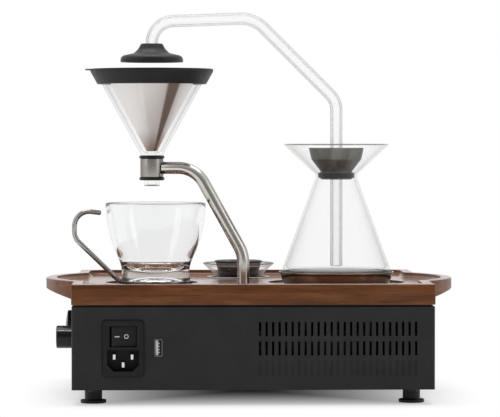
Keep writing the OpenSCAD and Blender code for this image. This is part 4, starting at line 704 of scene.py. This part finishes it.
def walnut_tray():
    over, under = TRAY_TOP + 5.0, TRAY_LOW - 5.0
    heater_low, coil_top = SEAT - 4.0, TRAY_TOP - 5.0
    cup_seat_r, jug_seat_r, heater_r, coil_r, well_r, arm_r = 38.0, 56.0, 42.8, 37.3, 25.1, 5.1
    tools = [
        tray_recess(over),
        bulge_underside(1, under),
        bulge_underside(-1, under),
        drum(DRIP, cup_seat_r, SEAT, over),
        drum(JUG, jug_seat_r, SEAT, over),
        drum(JUG, heater_r, heater_low, TRAY_TOP),
        drum(JUG, coil_r, under, coil_top),
        drum(MILK, well_r, under, over),
        drum(ARM_FOOT, arm_r, under, over, 32),
    ]
    make_piece("walnut_tray", carve("tray", tray_block(), tools), "base", "walnut", ("tray",), 40.0)


# Bent pieces

def steel_arm():
    radius, bore, ring_z = 5.0, 3.8, (RING_LOW + RING_TOP) / 2.0
    ring_r, elbow, knee_z, foot_z = 9.0, 37.0, TRAY_TOP + 19.7, 67.0
    out = (ARM_FOOT - DRIP).normalized()
    reach = (ARM_FOOT - DRIP).length
    runs = [(ring_r, ring_z), (elbow, ring_z), (reach, knee_z), (reach, foot_z)]
    path = [DRIP + out * distance + Vector((0.0, 0.0, z)) for distance, z in runs]
    tube = bent_tube(path, [25.0, 28.0], radius, bore)
    make_piece("steel_arm", tube, "base", "brushed_steel", ("arm_tube",))


def glass_pipe():
    low, rise_top, peak_x, peak_z, cone_z = JUG_LOW + 4.0, 239.6, 3.8, 307.3, 304.3
    path = [(JUG.x, low), (JUG.x, rise_top), (peak_x, peak_z), (DRIP.x, cone_z), (DRIP.x, PIPE_END)]
    tube = bent_tube([Vector((x, ROW_Y, z)) for x, z in path], [18.0, 26.0, 18.0], PIPE_R, PIPE_BORE)
    make_piece("glass_pipe", tube, "siphon", "clear_glass", ("pipe",))


def cup_handle():
    rod, band_in, band_out, band_top = 2.0, 28.8, 30.2, CUP_LOW + 3.0
    root, grip, tip_x = -29.5, -66.5, -44.6
    grip_low, grip_top, tip_z = SEAT + 38.0, SEAT + 61.0, SEAT + 58.5
    path = [(root, CUP_LOW + rod), (grip, grip_low), (grip, grip_top), (tip_x, tip_z)]
    bm = bmesh.new()
    first, last = carried_ring(bm, [CUP + Vector((x, 0.0, z)) for x, z in path], [12.0, 12.0], rod, 32)
    bm.faces.new(first)
    tip = bm.faces.new(last)
    clean(bm)
    soften(bm, list(tip.edges), 1.2, 5)
    band = rectangle(band_in, CUP_LOW, band_out, band_top)
    joined(bm, turned([Vector(p) for p in band], CUP, 96))
    bmesh.ops.recalc_face_normals(bm, faces=bm.faces)
    make_piece("cup_rod_handle", bm, "cup", "polished_steel", ("cup_handle",))


# Profiles of the turned pieces, as points of (reach, height, corner radius)

def cone_reach(z):
    """Outer radius of the drip cone at a height."""
    return CONE_ROOT_R + (z - CONE_LOW) * tan(CONE_LEAN)


def drip_cone_profile():
    stem_low, stem_r, bore, wall = 169.7, 6.5, 4.0, 2.0
    skin = wall / cos(CONE_LEAN)
    inner_low = CONE_LOW + wall + 1.0
    return [
        (bore, stem_low, 0.6), (stem_r, stem_low, 0.6), (stem_r, CONE_LOW, 0.6), (CONE_ROOT_R, CONE_LOW, 1.0),
        (cone_reach(CONE_TOP), CONE_TOP, 0.9), (cone_reach(CONE_TOP) - skin, CONE_TOP, 0.9),
        (cone_reach(inner_low) - skin, inner_low, 1.0), (bore, inner_low - wall, 1.0)]


def jug_profile():
    bottom_r, neck_r, rim_r, wall, floor = 45.0, 16.3, 44.2, 1.7, 2.0
    lean = (bottom_r - neck_r) / (NECK - JUG_LOW)
    skin = wall * sqrt(1.0 + lean * lean)
    return [
        (0.0, JUG_LOW, 0.0), (bottom_r, JUG_LOW, 2.0), (neck_r, NECK, 4.0), (rim_r, JUG_RIM, 0.7),
        (rim_r - skin - wall * lean, JUG_RIM, 0.7), (neck_r - wall, NECK, 4.0),
        (bottom_r - skin - floor * lean, JUG_LOW + floor, 2.0), (0.0, JUG_LOW + floor, 0.0)]


def jug_foot_profile():
    rim, ledge, dish = 99.5, 97.5, SEAT + 2.0
    foot_r, rim_r, dish_r, wall = 43.0, 47.4, 38.0, 1.5
    return [
        (0.0, SEAT, 0.0), (foot_r, SEAT, 0.6), (rim_r, rim, 0.3), (rim_r - wall, rim, 0.3),
        (rim_r - wall, ledge, 0.0), (dish_r, ledge, 0.0), (dish_r, dish, 1.0), (0.0, dish, 0.0)]


def stopper_profile():
    plug_low, seal_low, seal_top, plug_top = NECK - 3.4, NECK - 2.2, NECK + 2.2, NECK + 3.2
    turn, lip = NECK + 13.0, NECK + 22.5
    bore, groove_r, plug_r, bowl_r, lip_r = 8.0, 11.0, 13.0, 20.5, 22.6
    wall, bend = 1.2, 4.0
    return [
        (bore, plug_low, 0.0), (plug_r, plug_low, 0.6), (plug_r, seal_low, 0.0), (groove_r, seal_low, 0.0),
        (groove_r, seal_top, 0.0), (plug_r, seal_top, 0.0), (plug_r, plug_top, 1.0), (bowl_r, turn, bend),
        (lip_r, lip, 0.3), (lip_r - wall, lip, 0.3), (bowl_r - wall, turn, bend - wall),
        (plug_r - wall, plug_top + wall, 1.0), (bore, plug_top + wall, 0.0)]


def cap_profile():
    low, ceiling, top = PIPE_END - 4.0, PIPE_END - 1.0, PIPE_END + 11.2
    brim_z, step_z, waist_z = low + 5.0, low + 7.45, low + 10.8
    skirt_r, step_r, waist_r, neck_r = 25.7, 14.6, 11.2, 8.8
    return [
        (skirt_r - 3.0, low, 0.6), (skirt_r, low, 0.6), (skirt_r, brim_z, 4.2), (step_r, step_z, 3.0),
        (waist_r, waist_z, 6.0), (neck_r, top, 0.6), (PIPE_R, top, 0.0), (PIPE_R, PIPE_END, 0.0),
        (PIPE_BORE, PIPE_END, 0.0), (PIPE_BORE, ceiling, 0.0), (skirt_r - 4.0, ceiling - 0.6, 0.6)]


def ring_profile():
    inner, outer = 8.0, 9.5
    return [(inner, RING_LOW, 0.0), (outer, RING_LOW, 0.6), (outer, RING_TOP, 0.6), (inner, RING_TOP, 0.0)]


def grommet_profile():
    low, top = RING_LOW - 2.5, RING_TOP + 2.5
    bore, groove_r, flange_r = 6.6, 8.0, 10.3
    return [
        (bore, low, 0.0), (flange_r, low, 1.0), (flange_r, RING_LOW, 0.6), (groove_r, RING_LOW, 0.0),
        (groove_r, RING_TOP, 0.0), (flange_r, RING_TOP, 0.6), (flange_r, top, 1.0), (bore, top, 0.0)]


def milk_jug_profile():
    low, shoulder, neck_low = 47.0, 55.0, MILK_NECK - 4.0
    side_r, neck_r, rim_r, wall, floor = 22.8, 19.3, 31.2, 1.5, 2.0
    return [
        (0.0, low, 0.0), (side_r, low, 2.0), (side_r, shoulder, 3.0), (neck_r, neck_low, 3.0),
        (neck_r, MILK_NECK, 3.0), (rim_r, MILK_RIM, 0.6), (rim_r - wall, MILK_RIM, 0.3),
        (neck_r - wall, MILK_NECK, 3.0), (neck_r - wall, neck_low, 3.0), (side_r - wall, shoulder, 3.0),
        (side_r - wall, low + floor, 2.0), (0.0, low + floor, 0.0)]


def milk_plug_profile():
    low, seal_top, top = MILK_NECK - 1.5, MILK_NECK + 3.0, MILK_RIM + 1.9
    groove_r, plug_r, lip_r, wall, bead = 15.7, 17.2, 20.0, 1.2, 0.6
    return [
        (0.0, low, 0.0), (plug_r, low, 0.6), (plug_r, MILK_NECK, 0.0), (groove_r, MILK_NECK, 0.0),
        (groove_r, seal_top, 0.0), (plug_r, seal_top, 0.0), (lip_r - bead, top - 2.0 * bead, 0.3),
        (lip_r, top - bead, 0.0), (lip_r, top, 0.3), (lip_r - wall, top, 0.3),
        (plug_r - wall, seal_top + wall, 1.0), (0.0, seal_top + wall, 0.0)]


def milk_band_profile():
    inner, outer, low, top = 19.0, 20.15, 103.5, 105.0
    return [(inner, low, 0.0), (outer, low, 0.3), (outer, top, 0.3), (inner, top, 0.0)]


def filter_profile():
    low, end_r, top_r, sheet = 198.3, 4.3, 40.0, 0.7
    lip_r, lip_t = top_r + 7.0, FILTER_TOP - FILTER_LIP
    rise = (top_r - end_r) / (FILTER_LIP - low)
    skin = sheet * sqrt(1.0 + rise * rise)
    return [
        (0.0, low, 0.0), (end_r, low, 0.6), (top_r, FILTER_LIP, 0.0), (lip_r, FILTER_LIP, 0.0),
        (lip_r, FILTER_TOP, 0.3), (top_r + lip_t * rise - skin, FILTER_TOP, 0.0),
        (end_r + sheet * rise - skin, low + sheet, 0.0), (0.0, low + sheet, 0.0)]


def collar_profile():
    low, seat, wall, lap, gap, lip_r = 253.2, CONE_TOP + 0.2, 3.2, 3.5, 0.2, 47.3
    skin = gap / cos(CONE_LEAN)
    low_r = cone_reach(low) + skin
    seat_r = cone_reach(seat) + skin
    return [
        (low_r, low, 0.0), (low_r + wall, low, 1.0), (seat_r + wall, seat, 0.6),
        (seat_r + wall, FILTER_TOP, 0.6), (lip_r, FILTER_TOP, 0.3), (lip_r, FILTER_LIP, 0.0),
        (seat_r - lap, FILTER_LIP, 0.0), (seat_r - lap, seat, 0.0), (seat_r, seat, 0.0)]


# Turned pieces: name, CAD node, body, slot, axis, profile

TURNED = [
    ("drip_cone", "dripper_glass", "dripper", "clear_glass", DRIP, drip_cone_profile()),
    ("boiling_jug", "jug_glass", "jug", "clear_glass", JUG, jug_profile()),
    ("jug_foot", "jug_base", "jug", "polished_steel", JUG, jug_foot_profile()),
    ("steel_stopper", "stopper_bowl", "stopper", "dark_steel", JUG, stopper_profile()),
    ("drip_cap", "pipe_cap", "siphon", "black_rubber", DRIP, cap_profile()),
    ("arm_end_ring", "arm_ring", "base", "brushed_steel", DRIP, ring_profile()),
    ("cone_grommet", "ring_grommet", "base", "black_rubber", DRIP, grommet_profile()),
    ("milk_pitcher", "milk_glass", "milk_jug", "clear_glass", MILK, milk_jug_profile()),
    ("milk_plug", "milk_stopper", "milk_lid", "dark_steel", MILK, milk_plug_profile()),
    ("milk_plug_band", None, "milk_lid", "black_rubber", MILK, milk_band_profile()),
]


def turned_pieces():
    for name, cad_node, body, slot, axis, profile in TURNED:
        make_piece(name, turned(eased(profile), axis), body, slot, (cad_node,) if cad_node else ())


def coffee_cup():
    """A thick foot with a dome under it, curved walls and a rounded bowl inside."""
    waist, bowl_top, floor, dome, rim = 100.0, 109.0, 98.5, 94.8, 155.1
    dome_r, foot_r, waist_r, bowl_r, inner_r, rim_r = 16.0, 28.7, 27.8, 27.6, 39.3, 41.2
    lip_r, lip_h = (rim_r - inner_r) / 2.0, 0.9
    profile = bezier((0.0, dome), (8.0, dome), (dome_r, 92.8), (dome_r, CUP_LOW), 14)
    profile += eased([(dome_r, CUP_LOW, 0.0), (foot_r, CUP_LOW, 0.7), (foot_r, CUP_LOW + 1.5, 0.0)])[1:]
    profile += bezier((waist_r, waist), (waist_r, 112.0), (39.5, 118.0), (rim_r, rim))
    lip = [pi * k / 8.0 for k in range(1, 8)]
    profile += [Vector((inner_r + lip_r + lip_r * cos(a), rim + lip_h * sin(a))) for a in lip]
    profile += bezier((inner_r, rim), (37.6, 123.5), (bowl_r, 113.5), (bowl_r, bowl_top))
    profile += bezier((bowl_r, bowl_top), (27.2, 106.0), (17.0, floor), (0.0, floor))[1:]
    make_piece("coffee_cup", turned(profile, CUP), "cup", "clear_glass", ("cup_glass",))


def filter_cone():
    low, top = FILTER_LIP + 0.05, FILTER_TOP - 0.05
    bm = turned(eased(filter_profile()), DRIP, 160)
    tab = prism(
        rectangle(DRIP.x - TAB_TIP, ROW_Y - TAB_HALF, DRIP.x - TAB_ROOT, ROW_Y + TAB_HALF), low, top)
    soften(tab, [e for e in upright_edges(tab) if e.verts[0].co.x < DRIP.x - TAB_ROOT - 1.0], 3.0, 6)
    soften(tab, level_edges(tab, top), 0.3, 2)
    joined(bm, tab)
    make_piece("filter_cone", bm, "dripper", "filter_steel", ("mesh_filter",))


def cone_collar():
    """The black collar, with a notch in its lip where the filter's tab comes out."""
    half, inner, outer = TAB_HALF + 0.3, TAB_ROOT + 0.2, TAB_TIP + 0.5
    notch = prism(
        rectangle(DRIP.x - outer, ROW_Y - half, DRIP.x - inner, ROW_Y + half), FILTER_LIP, FILTER_TOP + 2.3)
    collar = carve("collar", turned(eased(collar_profile()), DRIP), [notch])
    make_piece("cone_collar", collar, "dripper", "black_rubber", ("dripper_collar",))


# Printed and small pieces

def knob_highlight_line():
    """A thin white strip along the side of the knob, where a highlight falls: a painted highlight."""
    knob_r, length, width, skin = 9.05, 12.2, 0.8, 0.12
    bm = bmesh.new()
    lean = Matrix.Rotation(radians(-36.5), 4, "X")
    middle = Matrix.Translation((-149.4, -68.0, 49.6))
    strip = Matrix.Translation((0.0, -knob_r, 0.0)) @ Matrix.Diagonal((length, skin, width, 1.0))
    bmesh.ops.create_cube(bm, size=1.0, matrix=middle @ lean @ strip)
    make_piece("knob_highlight_line", bm, "knob", "white_plastic")


def rocker_marks():
    """A bar on the raised half of the rocker and a ring on the pressed half, printed in white."""
    pivot = Matrix.Translation(INLET + Vector((0.0, 3.9, 9.3))) @ Matrix.Rotation(radians(9.0), 4, "Z")
    half, high, low, skin = 9.65, 3.8, 2.0, 0.05
    bar_long, bar_wide, bar_at = 4.0, 0.8, 5.2
    ring_inner, ring_outer, ring_at = 1.15, 1.8, 2.2
    up = Vector((0.0, 0.0, 1.0))
    bar = bmesh.new()
    bmesh.ops.create_cube(bar, size=1.0, matrix=Matrix.Diagonal((bar_long, bar_wide, 2.0 * skin, 1.0)))
    ring = turned([Vector(p) for p in rectangle(ring_inner, -skin, ring_outer, skin)], Vector(), 48)
    marks = bmesh.new()
    for side, out, mark in ((-1, bar_at, bar), (1, ring_at, ring)):
        along = Vector((half, -side * (high - low), 0.0)).normalized()
        basis = Matrix((along, up, along.cross(up))).transposed().to_4x4()
        middle = Matrix.Translation((side * out, -(low + (high - low) * out / half), 0.0))
        bmesh.ops.transform(mark, matrix=pivot @ middle @ basis, verts=mark.verts)
        joined(marks, mark)
    make_piece("rocker_marks", marks, "rocker_switch", "white_plastic")


def inlet_shadow_ring():
    """A thin near-black ring round the plate of the mains inlet: the gap at its edge is real, its shade is
    painted as this ring.
    """
    half_w, half_h, corner, width, thick = 16.9, 22.8, 3.9, 0.85, 0.3

    def plate(inset, low, high):
        w, h = half_w - inset, half_h - inset
        bm = prism(rectangle(-w, -h, w, h), low, high)
        soften(bm, upright_edges(bm), corner - inset, 6)
        return bm

    ring = carve("packing", plate(0.0, 0.0, thick), [plate(width, -1.0, 1.0)])
    bmesh.ops.transform(ring, matrix=Matrix.Translation(INLET) @ STOOD, verts=ring.verts)
    make_piece("inlet_shadow_ring", ring, "base", "black_rubber")


def socket_inside():
    """The dark moulding inside the charging socket and the four contacts on its tongue."""
    socket = INLET + Vector((27.6, 0.4, 0.5))
    insert_size, contact_size, contact_pitch = (2.5, 0.6, 12.2, 1.0), (1.1, 1.2, 0.9, 1.0), 2.4
    insert = bmesh.new()
    placed = Matrix.Translation(socket + Vector((1.2, 0.9, 0.0))) @ Matrix.Diagonal(insert_size)
    bmesh.ops.create_cube(insert, size=1.0, matrix=placed)
    soften(insert, list(insert.edges), 0.1, 2)
    make_piece("socket_insert", insert, "base", "black_plastic")
    contacts = bmesh.new()
    for k in (-1.5, -0.5, 0.5, 1.5):
        middle = Matrix.Translation(socket + Vector((0.45, 0.0, contact_pitch * k)))
        bmesh.ops.create_cube(contacts, size=1.0, matrix=middle @ Matrix.Diagonal(contact_size))
    soften(contacts, list(contacts.edges), 0.12, 2)
    make_piece("socket_contacts", contacts, "base", "bare_aluminium")


walnut_tray()
inlet_shadow_ring()
socket_inside()
rocker_marks()
knob_highlight_line()
turned_pieces()
cone_collar()
coffee_cup()
filter_cone()
steel_arm()
glass_pipe()
cup_handle()


# Stage, in metres

scene = bpy.context.scene
scene.view_settings.view_transform = "Standard"
WHITE = rgb(1.0, 1.0, 1.0)


def ray_kinds(look):
    """What the camera sees directly, and what it sees directly or in metal and glass."""
    seen, glossy, through = look.node(
        "ShaderNodeLightPath", out=("Is Camera Ray", "Is Glossy Ray", "Is Transmission Ray"))
    return seen, look.math("MAXIMUM", seen, look.math("MAXIMUM", glossy, through))


def room():
    """White to the camera, dimmer behind it, and dimmer still where it only lights."""
    world = bpy.data.worlds.new("studio")
    scene.world = world
    look = Look(world)
    depth = look.parts(look.node("ShaderNodeTexCoord", out="Generated"))[1]
    level = look.span(depth, -0.95, 0.0, 0.22, 1.0)
    seen, shown = ray_kinds(look)
    back = look.node("ShaderNodeBackground", None, {
        "Color": WHITE, "Strength": seen + (1.0 - seen) * level * (0.6 + shown * 0.4)})
    look.node("ShaderNodeOutputWorld", None, {"Surface": back})


def paper_floor():
    """Pale paper under the body that keeps the shadow and turns white a little way out; its white glow starts
    inside the body's outline, a painted light that lightens the shadow under the body.
    """
    half_size, glow_from_under_body, fade_to = 6.0, -0.15, 0.045
    bm = bmesh.new()
    bmesh.ops.create_grid(bm, x_segments=1, y_segments=1, size=half_size)
    mesh = bpy.data.meshes.new("floor")
    bm.to_mesh(mesh)
    bm.free()
    floor = bpy.data.objects.new("floor", mesh)
    scene.collection.objects.link(floor)
    paper = finish_named("paper_floor")
    grain = paper.noise(paper.place(), 40.0, 2.0, 0.5)
    x, y = paper.parts(paper.place())[:2]
    out_x = paper.math("ABSOLUTE", x) - TRAY_X * MM
    out_y = paper.math("ABSOLUTE", y) - BODY_Y * MM
    # painted light: the white glow begins 15 cm inside the body's outline
    glow_mask = paper.span(paper.math("MAXIMUM", out_x, out_y), glow_from_under_body, fade_to, 0.0, 1.0)
    near = paper.node("ShaderNodeBsdfPrincipled", None, {
        "Base Color": paper.tint(grain, rgb(0.95, 0.95, 0.95), rgb(0.97, 0.97, 0.97)), "Roughness": 0.9,
        "Specular IOR Level": 0.0})
    white = paper.node("ShaderNodeEmission", None, {"Color": WHITE, "Strength": 1.0})
    blend = glow_mask * glow_mask * ray_kinds(paper)[1]
    paper.show(paper.node("ShaderNodeMixShader", None, {0: blend, 1: near, 2: white}))
    mesh.materials.append(paper.owner)


def soft_box(name, place, target, size, watts):
    light = bpy.data.lights.new(name, "AREA")
    light.shape = "RECTANGLE"
    light.size, light.size_y = size
    light.energy = watts
    obj = bpy.data.objects.new(name, light)
    scene.collection.objects.link(obj)
    obj.location = place
    obj.rotation_euler = (Vector(target) - Vector(place)).to_track_quat("-Z", "Y").to_euler()


def rear_view():
    """A long lens behind the machine, a little to the left of its middle, tipped down slightly."""
    lens = bpy.data.cameras.new("rear_view")
    lens.lens = 212.3
    lens.sensor_width = 36.0
    lens.clip_end = 50.0
    camera = bpy.data.objects.new("rear_view", lens)
    camera.location = (-0.0675, -2.433, 0.2074)
    camera.rotation_euler = (radians(90.0 - 1.33), 0.0, radians(-1.61))
    scene.collection.objects.link(camera)
    scene.camera = camera


room()
paper_floor()
soft_box("top_box", (0.0, 0.15, 1.7), (0.0, 0.0, 0.1), (1.8, 1.2), 24.0)
soft_box("left_box", (-1.6, -0.9, 0.9), (0.0, 0.0, 0.15), (0.6, 1.3), 3.0)
soft_box("right_box", (1.6, -0.9, 0.8), (0.0, 0.0, 0.15), (0.5, 1.2), 2.5)
rear_view()
